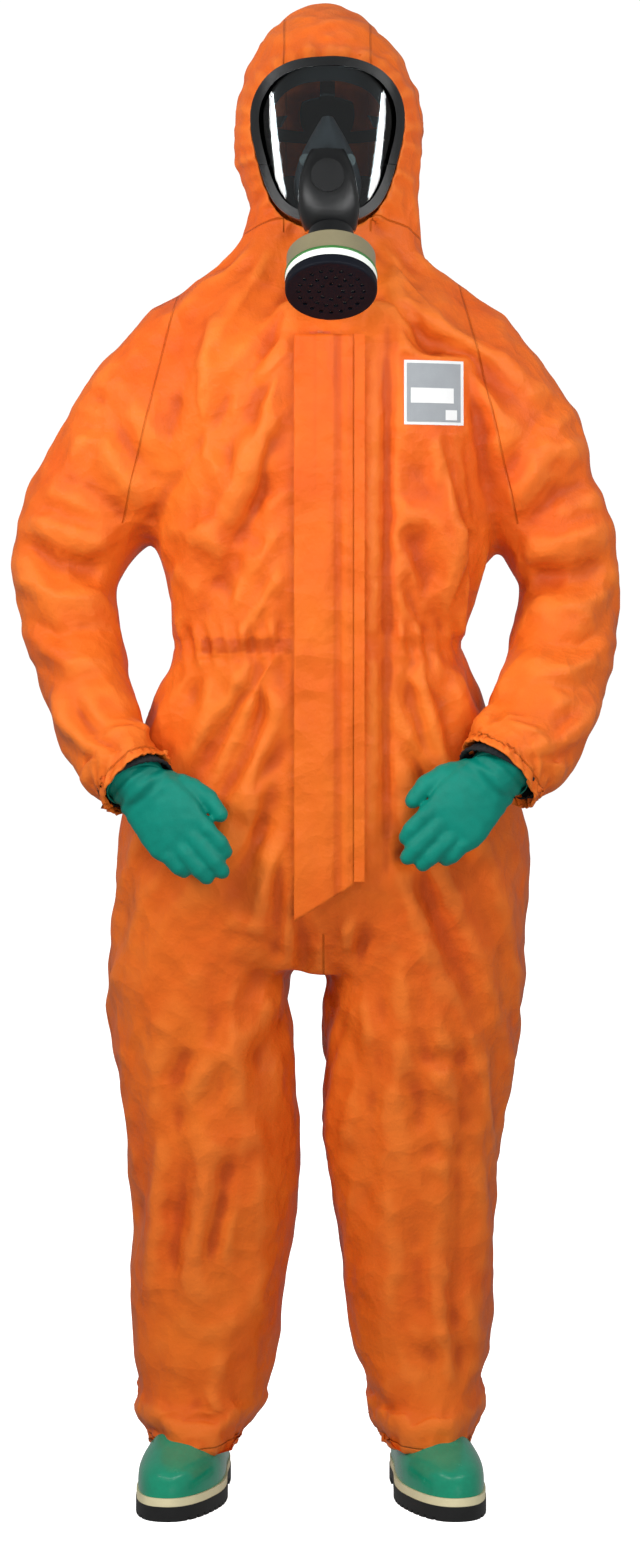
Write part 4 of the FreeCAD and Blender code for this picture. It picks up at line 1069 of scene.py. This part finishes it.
def drape(suit):
    """Lets the oversize cloth buckle and settle round its shape."""
    rest, arm = coords(suit), arm_of(suit)
    z = about_wearer(rest)[2]
    calm = calm_zone(rest)
    rim = rim_points(suit)
    hold = 0.10 + 0.6 * calm
    hold = np.maximum(hold, np.where(rim, 1.0, 0))
    shrink = 0.8 * band(z, 1036, 1054, 6) * (np.abs(arm) < 0.5)
    for name, weights in (("hold", hold), ("gather", shrink)):
        group = suit.vertex_groups.new(name=name)
        levels = np.round(np.clip(weights, 0, 1) * 40) / 40
        for level in np.unique(levels):
            if level > 0:
                group.add(np.flatnonzero(levels == level).tolist(), float(level), "REPLACE")
    modifier = suit.modifiers.new("cloth", "CLOTH")
    cloth = modifier.settings
    cloth.quality = 4
    cloth.mass = 0.25
    cloth.air_damping = 2.0
    cloth.tension_stiffness = 12
    cloth.compression_stiffness = 12
    cloth.shear_stiffness = 6
    cloth.bending_stiffness = 1.2
    cloth.tension_damping = 8
    cloth.compression_damping = 8
    cloth.bending_damping = 1.0
    cloth.vertex_group_mass = "hold"
    cloth.pin_stiffness = 0.9
    cloth.vertex_group_shrink = "gather"
    cloth.shrink_min = -0.075
    cloth.shrink_max = 0.10
    cloth.effector_weights.gravity = 0.35
    cloth.use_pressure = True
    cloth.uniform_pressure_force = 2.6
    modifier.collision_settings.use_collision = False
    modifier.collision_settings.use_self_collision = False
    modifier.point_cache.frame_start = 1
    modifier.point_cache.frame_end = CLOTH_FRAMES
    scene = bpy.context.scene
    for number in range(1, CLOTH_FRAMES + 1):
        scene.frame_set(number)
    evaluated(suit)
    scene.frame_set(1)
    settled = coords(suit)
    move = settled - rest
    length = np.linalg.norm(move, axis=1)
    limit = (0.003 + 0.015 * (1 - calm)) * np.where(rim, 0, 1)
    limit *= 0.3 + 0.7 * smoothstep(rim_distance(rest, arm), 15, 80)
    limit *= 1 - 0.75 * smoothstep(z, 1540, 1600)
    scale = np.minimum(1, limit / np.maximum(length, 1e-9))
    move = spread(move * scale[:, None], edges_of(suit), 1)
    ways = normals_of(suit)
    inward = np.clip((move * ways).sum(1), None, 0)
    firm = np.maximum(smoothstep(z, 1540, 1600), 1 - smoothstep(rim_distance(rest, arm), 40, 90))
    move -= ways * (inward * firm * 0.85)[:, None]
    put_coords(suit, rest + move)


def refine(suit):
    """One subdivision, then the finer folds and the gathered edges."""
    modifier = suit.modifiers.new("finer", "SUBSURF")
    modifier.levels = modifier.render_levels = 1
    modifier.boundary_smooth = "PRESERVE_CORNERS"
    evaluated(suit)
    points, edges, arm = coords(suit), edges_of(suit), arm_of(suit)
    normals = normals_of(suit)
    calm = calm_zone(points)
    x, y, z = about_wearer(points)
    body = np.abs(arm) < 0.5
    fine = crumple(points, 34, 11)
    height = (fine - fine.mean()) * 3.4 * (1 - 0.75 * calm) * (1 - 0.5 * smoothstep(z, 1540, 1600))
    waist = band(z, 1040, 1052, 30) * body * (1 - calm)
    wave = np.sin(x * 0.33 + 2 * np.sin(z * 0.03)) + 0.6 * np.sin(x * 0.21 + 1.7)
    height += wave * 2.6 * waist
    height -= 2.2 * band(z, 1039, 1051, 4) * body * (1 - calm)
    end = rim_distance(points, arm)
    for side, sign in SIDES:
        near_cuff = (arm * sign > 0.5) & (end < 60)
        pleats = gathers(points * 1000 - SHIFT, cuff_plane(side)[0], 1.6)
        height += pleats * near_cuff * (1 - smoothstep(end, 4, 46))
        near_hem = (z < 200) & (sign * (x + 12) > 0)
        pleats = gathers(points * 1000 - SHIFT, HEM_PLANES[side][0], 0.9)
        height += pleats * near_hem * (1 - smoothstep(end, 4, 40))
    face = np.where(y < 20, np.abs(loop_distance(points, mask_loop(0))) * 1000, 99)
    ruffle = (1 - smoothstep(face, 8, 48)) * (z > 1530) * smoothstep(face, 0, 6)
    around = np.arctan2(z - 1644, x - HEAD_X)
    height += ruffle * (np.sin(around * 33 + 0.02 * face) + 0.8 * np.sin(around * 21 + 2)) * 1.2
    put_coords(suit, points + normals * height[:, None] * 0.001)
    put_coords(suit, spread(coords(suit), edges, 1, 0.3))
    flatten_label(suit)


def flatten_label(suit):
    """Lays the chest flat where the label is sewn on."""
    points = coords(suit)
    x, y, z = about_wearer(points)
    weight = band(x, 99, 173, 9) * band(z, 1306, 1387, 9) * (y < -40)
    inside = weight > 0.9
    put = label_surface(x[inside], z[inside], y[inside])
    LABEL_FIT.extend(put)
    y = y + weight * (label_height(x, z) - y)
    points[:, 1] = (y + SHIFT[1]) * 0.001
    put_coords(suit, points)


LABEL_FIT = []  # y = a + b x + c z + d x x + e z z of the chest under the label


def label_terms(x, z):
    u, w = (x - 136) / 40, (z - 1346) / 40
    return np.column_stack([np.ones_like(u), u, w, u * u, w * w])


def label_surface(x, z, y):
    return np.linalg.lstsq(label_terms(x, z), y, rcond=None)[0].tolist()


def label_height(x, z):
    return label_terms(x, z) @ np.array(LABEL_FIT)


def turn_in_edges(suit):
    """Folds every open edge in, so that the cloth has a thickness there."""
    bm = bmesh.new()
    bm.from_mesh(suit.data)
    bm.normal_update()
    for inward, back in ((0.0016, -0.0004), (0.0016, 0.006), (0.0004, 0.008)):
        rim = [e for e in bm.edges if e.is_boundary]
        start = {}
        for v in {v for e in rim for v in e.verts}:
            inner = [e.other_vert(v).co for e in v.link_edges if not e.is_boundary]
            mean = sum(inner, Vector()) / max(1, len(inner))
            start[v.index] = (v.normal.copy(), (mean - v.co).normalized() if inner else Vector())
        if back < 0:
            ways = {i: (n.copy(), b.copy()) for i, (n, b) in start.items()}
            made_from = {i: i for i in ways}
        made = bmesh.ops.extrude_edge_only(bm, edges=rim)["geom"]
        fresh = [v for v in made if isinstance(v, bmesh.types.BMVert)]
        bm.verts.index_update()
        next_from = {}
        for v in fresh:
            old = min((e.other_vert(v) for e in v.link_edges), key=lambda w: (w.co - v.co).length)
            key = made_from.get(old.index)
            if key is None:
                continue
            normal, away = ways[key]
            v.co += -normal * inward + away * back
            next_from[v.index] = key
        made_from = next_from
    bm.to_mesh(suit.data)
    bm.free()


def seam_lines(points, arm):
    """Signed distance in millimetres to the nearest sewn seam, for the material's stitch lines."""
    at = points * 1000 - SHIFT
    x, y, z = at.T
    body = np.abs(arm) < 0.5
    best = np.full(len(points), 99.0)

    def take(distance, where):
        nonlocal best
        closer = where & (np.abs(distance) < np.abs(best))
        best = np.where(closer, distance, best)

    for edge in (-52, 52):
        take(x - HEAD_X - edge, z > 1540)
    take(z - 1536 + 0.37 * y, (z > 1480) & (z < 1590))
    take(y - 4, (z > 80) & (z < 1480) & (np.abs(x) > 150))
    for side, sign in SIDES:
        d = (at - np.array((sign * 166, 0, 1500))) @ unit(ARMHOLE_WAY[side])
        take(d, (np.abs(d) < 30) & (z > 1190) & (sign * x > 100))
    take(rim_distance(points, arm) - 12, np.ones(len(x), bool))
    take(x - 4, (z < 700) & (np.abs(x) < 60) & body)
    return np.where(np.abs(best) < 6, best, np.sign(best) * (6 + 20 * (np.abs(best) - 6)))


ARMHOLE_WAY = {"right": (-0.973, 0, 0.231), "left": (0.973, 0, 0.231)}
NECK_POINT, NECK_WAY = (0, 12, 1527), (0, -0.347, 0.938)
ZIP_SLOT = 12.5
ZIP_LOW, ZIP_HIGH = 744.0, 1416.0


def elbow_ring(side):
    """A point and the way down the arm at the split just above the elbow."""
    x_out, z_out, x_in, z_in = SLEEVES[side][6][:4]
    way = unit((z_out - z_in, 0, x_in - x_out))
    way = way if way[2] < 0 else -way
    return np.array([(x_out + x_in) / 2, 8.0, (z_out + z_in) / 2]), way


def beside_zip(points):
    """The front of the trunk, at the heights of the zip's slot."""
    middle, half = (ZIP_LOW + ZIP_HIGH) / 2000, (ZIP_HIGH - ZIP_LOW) / 2000 + 0.004
    return (points[:, 1] < -0.02) & (np.abs(points[:, 2] - middle) < half)


def split_suit(suit):
    """Cuts the finished skin into pieces: the two halves, the hood and the two forearms, leaving out the
    slot for the zip.
    """
    neck = plane(NECK_POINT, NECK_WAY)
    middle = plane((0, 0, 0), (1, 0, 0))
    snapped(suit, *neck)
    snapped(suit, *middle)
    for side, sign in SIDES:
        distance, gradient = plane(*elbow_ring(side))
        on_arm = arm_of(suit) * sign > 0.5
        snapped(suit, limited(distance, lambda p: on_arm), gradient)
        distance, gradient = plane((sign * ZIP_SLOT, 0, 0), (sign, 0, 0))
        snapped(suit, limited(distance, beside_zip), gradient)
    points, arm = coords(suit), arm_of(suit)
    normals = normals_of(suit)
    seam = seam_lines(points, arm)
    # painted shade and highlight: the depth of the folds, which the cloth's colour turns darker or lighter
    painted_shading = hollow_depth(points, normals, edges_of(suit))
    x, y, z = about_wearer(points)
    # painted shade along the waist elastic's tunnel on the front of the wearer's right side
    waist_tunnel_shade = band(z, 1037, 1053, 2) * band(x, -140, -36, 6) * (y < 0) * (np.abs(arm) < 0.5)
    painted_shading = painted_shading * (1 - 0.75 * band(z, 1034, 1056, 12)) + 2.8 * waist_tunnel_shade
    # painted shade in the groove beside the flap's sewn edge
    placket_groove_shade = np.exp(-(((x - 80) / 6) ** 2)) * band(z, 780, 1420, 20) * (y < 0) * (np.abs(arm) < 0.5)
    painted_shading += 1.8 * placket_groove_shade
    centres = np.column_stack([face_mean(suit, points[:, k]) for k in range(3)])
    arms = face_mean(suit, arm)
    label = np.where(middle[0](centres) > 0, 1, 0)
    label[neck[0](centres) > 0] = 2
    for number, (side, sign) in enumerate(SIDES):
        past = plane(*elbow_ring(side))[0](centres) > 0
        label[past & (arms * sign > 0.5)] = 3 + number
    x, y, z = about_wearer(centres)
    label[(np.abs(x) < ZIP_SLOT) & (z > ZIP_LOW) & (z < ZIP_HIGH) & (y < -60)] = -1
    names = ("suit_right", "suit_left", "suit_hood", "suit_fore_sleeve_right", "suit_fore_sleeve_left")
    pieces = {}
    for number, name in enumerate(names):
        pieces[name] = piece_of(suit, label == number, name, points, normals, seam, painted_shading)
    bpy.data.objects.remove(suit)
    return pieces


def hollow_depth(points, normals, edges):
    """How far, in millimetres, each point lies below the cloth round it; the cloth's colour paints shade
    where this is large and a highlight where it is below zero, on the ridges.
    """
    near = ((spread(points, edges, 10) - points) * normals).sum(1) * 1000
    wide = ((spread(points, edges, 60) - points) * normals).sum(1) * 1000
    return spread(np.clip(near, -2, 2) + 0.55 * np.clip(wide, -6, 6), edges, 2)


def piece_of(suit, chosen, name, points, normals, seam, painted_shading):
    loops = [tuple(p.vertices) for p, keep in zip(suit.data.polygons, chosen) if keep]
    used = np.unique(np.concatenate([np.array(f) for f in loops]))
    order = np.full(len(points), -1)
    order[used] = np.arange(len(used))
    faces = [tuple(int(order[i]) for i in f) for f in loops]
    made = new_object(name, points[used], faces, scale=False)
    smooth_shaded(made)
    # the stitch lines and the painted fold shade and highlight go on as point attributes that the cloth's
    # colour reads
    for key, values in (("seam", seam), ("painted_shading", painted_shading)):
        attribute = made.data.attributes.new(key, "FLOAT", "POINT")
        attribute.data.foreach_set("value", values[used].astype(np.float32))
    made.data.normals_split_custom_set_from_vertices(normals[used].tolist())
    made.data.materials.append(M["cloth"])
    return made


def make_coverall():
    suit = coverall_base()
    open_suit(suit)
    keep_largest(suit)
    fold_suit(suit)
    drape(suit)
    refine(suit)
    turn_in_edges(suit)
    pieces = split_suit(suit)
    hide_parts("front_panel_right", "upper_sleeve_right", "trouser_leg_right",
                "ankle_elastic_right", "back_panel", "seat_panel", "waist_elastic", "crotch_gusset")
    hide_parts("front_panel_left", "upper_sleeve_left", "trouser_leg_left",
                "ankle_elastic_left")
    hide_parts("hood_centre_panel", "hood_side_panel_right", "hood_side_panel_left",
                "hood_face_elastic")
    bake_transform(pieces["suit_hood"])
    for side, _ in SIDES:
        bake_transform(pieces[f"suit_{side}"])
        fore = pieces[f"suit_fore_sleeve_{side}"]
        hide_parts(f"fore_sleeve_{side}")
        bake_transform(fore)
    return pieces


# ---------------------------------------------------------------- gloves
HANDS = {
    "right": {"finger": (90, -30, -104), "thumb": (0.731, 0, 0.633)},
    "left": {"finger": (-104, -30, -108), "thumb": (-0.72, 0, 0.69)},
}


def hand_ways(side):
    rows = sleeve_rows(SLEEVES[side])
    cuff = np.asarray(rows[-1][0], float)
    forearm = unit(cuff - np.asarray(rows[-4][0], float))
    finger = unit(HANDS[side]["finger"])
    thumb = np.array(HANDS[side]["thumb"], float)
    thumb = unit(thumb - finger * (thumb @ finger))
    front = np.cross(finger, thumb)
    front = front if front[1] < 0 else -front
    return cuff, forearm, finger, thumb, front


def make_glove(side):
    """A rubber gauntlet: back of the hand to the front, fingers together, thumb a little apart."""
    cuff, forearm, finger, thumb, front = hand_ways(side)

    def at(along, across, out=0.0):
        return cuff + finger * along + thumb * across + front * out

    parts = []
    palm = [
        (at(-10, 0, 0), thumb, front, 33, 28, 2.2),
        (at(12, 2, 0), thumb, front, 35, 23, 2.2),
        (at(40, 3, 1), thumb, front, 40, 18.5, 2.3),
        (at(66, 1, 2), thumb, front, 42, 15.5, 2.5),
        (at(86, -1, 2), thumb, front, 41, 13.5, 2.6),
        (at(96, -1, 1), thumb, front, 37, 10.5, 2.4),
    ]
    parts.append(tube(palm, 40, 6))
    fingers = [
        (29, 30, 82, 62, 11.0),
        (10, 11, 88, 72, 11.6),
        (-9.5, -9, 87, 66, 11.2),
        (-27, -26, 79, 50, 10.2),
    ]
    for root_across, tip_across, root, length, r in fingers:
        knuckle = at(root - 8, root_across, 1)
        joint_one = at(root + length * 0.36, (root_across * 0.5 + tip_across * 0.5), 2.0)
        joint_two = at(root + length * 0.70, tip_across, -2.0)
        tip = at(root + length - r * 0.8, tip_across * 0.93, -7.0)
        parts.append(capsule(knuckle, joint_one, r * 1.06, r))
        parts.append(capsule(joint_one, joint_two, r, r * 0.95))
        parts.append(capsule(joint_two, tip, r * 0.95, r * 0.84))
    base, mid = at(18, 22, -6), at(50, 45, -10)
    upper, tip = at(74, 53, -10), at(97, 52, -8)
    parts.append(capsule(base, mid, 17, 14.5))
    parts.append(capsule(mid, upper, 14.0, 12.5))
    parts.append(capsule(upper, tip, 12.3, 10.2))
    parts.append(capsule(at(4, 0), at(-14, 0), 33, 31))
    points, faces = joined(parts)
    glove = new_object(f"glove_{side}_skin", points, faces)
    remeshed(glove, 0.0022)
    relaxed(glove, 9)
    points, edges = coords(glove), edges_of(glove)
    points = spread(points, edges, 3, 0.5)
    put_coords(glove, points)
    normals = normals_of(glove)
    local = points * 1000 - SHIFT - cuff
    along = local @ finger
    fine = crumple(points, 17, 3)
    height = (fine - fine.mean()) * 1.6 * (1 - smoothstep(along, 110, 150))
    height += 1.1 * np.sin(along * 0.42) * (1 - smoothstep(along, 18, 46))
    put_coords(glove, points + normals * height[:, None] * 0.001)
    put_coords(glove, spread(coords(glove), edges, 2, 0.4))
    smooth_shaded(glove)

    gauntlet = [
        (cuff + forearm * 6, 35.0),
        (cuff - forearm * 10, 35.0),
        (cuff - forearm * 30, 34.0),
        (cuff - forearm * 48, 33.0),
    ]
    side_way = unit(np.cross(forearm, (0, 1, 0)))
    other = np.cross(forearm, side_way)
    rows = [(c, side_way, other, r, r, 2.0) for c, r in gauntlet]
    points, faces = tube(rows, 48, 5)
    faces = [f for f in faces if len(f) == 4]
    sleeve = new_object(f"glove_{side}_gauntlet", points, faces)
    smooth_shaded(sleeve)
    thick = sleeve.modifiers.new("wall", "SOLIDIFY")
    thick.thickness = 0.0012
    evaluated(sleeve)
    for piece in (glove, sleeve):
        dress(piece, "glove")
        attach(piece, f"glove_{side}")
    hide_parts(f"glove_{side}")


def make_cuff(side):
    """The dark knitted band just inside the sleeve's end."""
    rows = sleeve_rows(SLEEVES[side])
    centre, u, v, half_u, half_v, square = rows[-1]
    _, way = cuff_plane(side)
    steps = [(-12, 0.80), (-3, 0.84), (2, 0.88), (5, 0.88), (6, 0.85), (5, 0.81)]
    band_rows = [(centre + way * s, u, v, half_u * k, half_v * k, square) for s, k in steps]
    points, faces = tube(band_rows, 120, 4)
    faces = [f for f in faces if len(f) == 4]
    angle = np.arctan2((points - centre) @ v, (points - centre) @ u)
    out = points - centre - np.outer((points - centre) @ way, way)
    points = points + out * (0.016 * np.sin(angle * 34))[:, None]
    knit = new_object(f"cuff_knit_{side}", points, faces)
    smooth_shaded(knit)
    dress(knit, "knit")
    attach(knit, f"forearm_{side}")
    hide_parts(f"cuff_elastic_{side}")


# ---------------------------------------------------------------- storm flap and label
FLAP_TOP, FLAP_BOTTOM = 1414.0, 716.0


def make_flap():
    """The long flap over the zip, stitched on its left, with a soft wavy free edge."""
    across = np.linspace(-31, 40, 29)
    up = np.linspace(FLAP_BOTTOM, FLAP_TOP, 180)
    x, z = np.meshgrid(across, up)
    start = FLAP_BOTTOM + (x + 31) * 0.62
    z = start + (z - FLAP_BOTTOM) * (FLAP_TOP - start) / (FLAP_TOP - FLAP_BOTTOM)
    loose = 1 - smoothstep(x, -31, 26)
    wave = 2.2 * np.sin(z * 0.021 + 0.6) + 1.4 * np.sin(z * 0.053 + x * 0.02)
    wave += 0.7 * np.sin(z * 0.11 + x * 0.05)
    over_zip = band(z, 1350, 1410, 24)
    y = -161.2 - 0.8 * over_zip - np.abs(wave) * loose * 0.5
    y += 3.6 * swell(x, 21, 5.5) * (0.75 + 0.25 * np.sin(z * 0.013))
    y += 1.4 * smoothstep(x, 35, 40) - 1.2 * swell(x, 6, 7) - 1.0 * swell(x, 31, 3.5)
    y += 0.35 * np.sin(z * 0.35 + 2 * np.sin(x * 0.2)) * swell(x, 33, 4)
    points = np.column_stack([x.ravel(), y.ravel(), z.ravel()])
    flap = new_object("flap_cloth", points, grid_faces(len(up), len(across)))
    # painted shade in the flap's soft groove and in a narrow crease on its upper part
    painted_shading = 2.3 * swell(x, 21, 6, 4) + 1.4 * swell(x, -6, 3) * smoothstep(z, 1150, 1300)
    attribute = flap.data.attributes.new("painted_shading", "FLOAT", "POINT")
    attribute.data.foreach_set("value", painted_shading.ravel().astype(np.float32))
    smooth_shaded(flap)
    thick = flap.modifiers.new("wall", "SOLIDIFY")
    thick.thickness = 0.0012
    thick.offset = -1
    evaluated(flap)
    dress(flap, "flap")
    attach(flap, "flap")
    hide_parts("storm_flap")


def make_label():
    """A plain two-tone woven label without lettering."""
    for name, low, high, out, key in (
        ("label_border", (100, 1308), (172, 1385), 0.6, "label_edge"),
        ("label_field", (103.5, 1311.5), (168.5, 1381.5), 1.1, "label"),
        ("label_panel", (108, 1334), (160, 1352), 1.5, "label_edge"),
        ("label_panel_small", (150, 1314), (164, 1326), 1.5, "label_edge"),
    ):
        count = 13
        along, up = (np.linspace(low[i], high[i], count) for i in range(2))
        grid_x, grid_z = np.meshgrid(along, up)
        x, z = grid_x.ravel(), grid_z.ravel()
        points = np.column_stack([x, label_height(x, z) - out, z])
        faces = grid_faces(count, count)
        plate = new_object(name, points, faces)
        smooth_shaded(plate)
        dress(plate, key)
        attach(plate, "coverall")
        if name == "label_border":
            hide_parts("chest_label")


# ---------------------------------------------------------------- dressing of the CAD pieces
FINISH = {  # the CAD pieces that each material goes on
    "zip": "zip_tape_left zip_tape_right",
    "slider": "zip_teeth_left zip_teeth_right zip_stops zip_slider zip_pull_tab",
    "film": "flap_adhesive_tape",
    "strip": "flap_seam_strip",
    "boot": "boot_upper_left boot_upper_right",
    "welt": "boot_welts",
    "sole": "outsole_left outsole_right",
    "felt": "insoles",
    "steel": "steel_toe_caps harness_buckles",
    "lens": "visor_lens",
    "dark": "visor_frame_upper visor_frame_lower front_housing "
    "exhalation_valve_seat exhalation_valve_cover connector_ring",
    "rubber": "face_seal canister_gasket head_harness",
    "cup": "inner_mask",
    "valve": "inhalation_valve_discs exhalation_valve_disc",
    "canister": "canister_body",
    "white": "canister_band",
    "cap": "canister_cap",
    "paper": "particle_filter",
    "carbon": "carbon_bed",
}


CANISTER_WAY = (0, -0.5736, -0.8192)  # 55 degrees below the horizontal


def make_stripe():
    """A thin green line painted round the canister, just behind its white band."""
    points = coords(NODES["canister_band"])
    centre = points.mean(0)
    way = np.array(CANISTER_WAY)
    along = (points - centre) @ way
    radius = np.linalg.norm(points - centre - np.outer(along, way), axis=1).max() + 0.0002
    side, other = np.array([1.0, 0, 0]), np.cross(way, (1.0, 0, 0))
    low = along.min() - 0.0035
    turn = np.arange(96) * 2 * math.pi / 96
    rows = []
    for shift, size in ((0.0, -0.0012), (0.0003, 0), (0.0032, 0), (0.0035, -0.0012)):
        out = np.outer(np.cos(turn), side) + np.outer(np.sin(turn), other)
        rows.append(centre + way * (low + shift) + out * (radius + size))
    faces = [
        (r * 96 + i, r * 96 + (i + 1) % 96, (r + 1) * 96 + (i + 1) % 96, (r + 1) * 96 + i)
        for r in range(3)
        for i in range(96)
    ]
    stripe = new_object("canister_stripe", np.vstack(rows), faces, scale=False)
    smooth_shaded(stripe)
    dress(stripe, "stripe")
    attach(stripe, "canister")


SHARP_ANGLE = 32  # degrees, beyond which an edge of a CAD piece stays crisp


def dress_nodes():
    for key, names in FINISH.items():
        for name in names.split():
            dress(NODES[name], key, SHARP_ANGLE)


# ---------------------------------------------------------------- stage
def area_light(name, place, target, size, power, size_y=None, color=(1, 1, 1)):
    data = bpy.data.lights.new(name, "AREA")
    data.shape = "RECTANGLE"
    data.size, data.size_y = size, size_y or size
    data.energy = power
    data.color = color
    lamp = bpy.data.objects.new(name, data)
    bpy.context.scene.collection.objects.link(lamp)
    lamp.location = place
    lamp.rotation_euler = (Vector(target) - Vector(place)).to_track_quat("-Z", "Y").to_euler()
    return lamp


def strip_light(name, top, low, target, width, power):
    """A long narrow lamp between two points, facing the target."""
    top, low = Vector(top), Vector(low)
    middle, along = (top + low) / 2, (top - low).normalized()
    back = middle - Vector(target)
    back = (back - along * back.dot(along)).normalized()
    lamp = area_light(name, middle, target, width, power, (top - low).length)
    lamp.rotation_euler = Matrix((along.cross(back), along, back)).transposed().to_euler()
    return lamp


def make_stage():
    scene = bpy.context.scene
    camera = bpy.data.objects.new("camera", bpy.data.cameras.new("camera"))
    scene.collection.objects.link(camera)
    camera.data.sensor_fit = "VERTICAL"
    camera.data.sensor_height = 36
    camera.data.lens = 93.0
    camera.location = (0.0004, -4.85, 1.10)
    aim = Vector((0.0004, 0.05, 0.888)) - camera.location
    camera.rotation_euler = aim.to_track_quat("-Z", "Y").to_euler()
    scene.camera = camera

    size = 12.0
    points = [(-size, -size, 0), (size, -size, 0), (size, size, 0), (-size, size, 0)]
    floor = new_object("floor", np.array(points, float), [(0, 1, 2, 3)], scale=False)
    paper = node_material("paper floor", (0.93, 0.93, 0.93), 0.9, specular=0.1)
    paper.node_tree.nodes["Principled BSDF"].inputs["Emission Color"].default_value = (1, 1, 1, 1)
    paper.node_tree.nodes["Principled BSDF"].inputs["Emission Strength"].default_value = 1.0
    floor.data.materials.append(paper)
    floor.visible_diffuse = floor.visible_glossy = False
    lamps = [
        area_light("key", (-3.0, -2.3, 3.1), (0, 0, 1.0), 0.9, 84, 0.9, (1, 0.98, 0.95)),
        area_light("fill", (1.2, -3.8, 0.6), (0, 0, 0.5), 1.8, 58, 1.2),
        area_light("top", (0.2, 0.2, 3.4), (0, 0, 1.0), 1.6, 12, 1.2),
    ]
    for lamp in lamps:
        lamp.visible_glossy = False
    for name, sign in (("strip right", -1), ("strip left", 1)):
        top, low = (sign * 1.25, -0.25, 1.85), (sign * 0.15, -1.1, 1.35)
        lamps.append(strip_light(name, top, low, (0, -0.05, 1.62), 0.07, 6))
    world = bpy.data.worlds.new("world")
    world.use_nodes = True
    nodes, links = world.node_tree.nodes, world.node_tree.links
    nodes["Background"].inputs["Color"].default_value = (1, 1, 1, 1)
    seen = nodes.new("ShaderNodeLightPath")
    strength = nodes.new("ShaderNodeMapRange")
    strength.inputs["To Min"].default_value = 0.30
    strength.inputs["To Max"].default_value = 1.05
    links.new(seen.outputs["Is Camera Ray"], strength.inputs["Value"])
    links.new(strength.outputs["Result"], nodes["Background"].inputs["Strength"])
    scene.world = world
    scene.view_settings.view_transform = "Standard"


make_coverall()
for SIDE in ("right", "left"):
    make_glove(SIDE)
    make_cuff(SIDE)
make_flap()
make_label()
dress_nodes()
make_stripe()
make_stage()
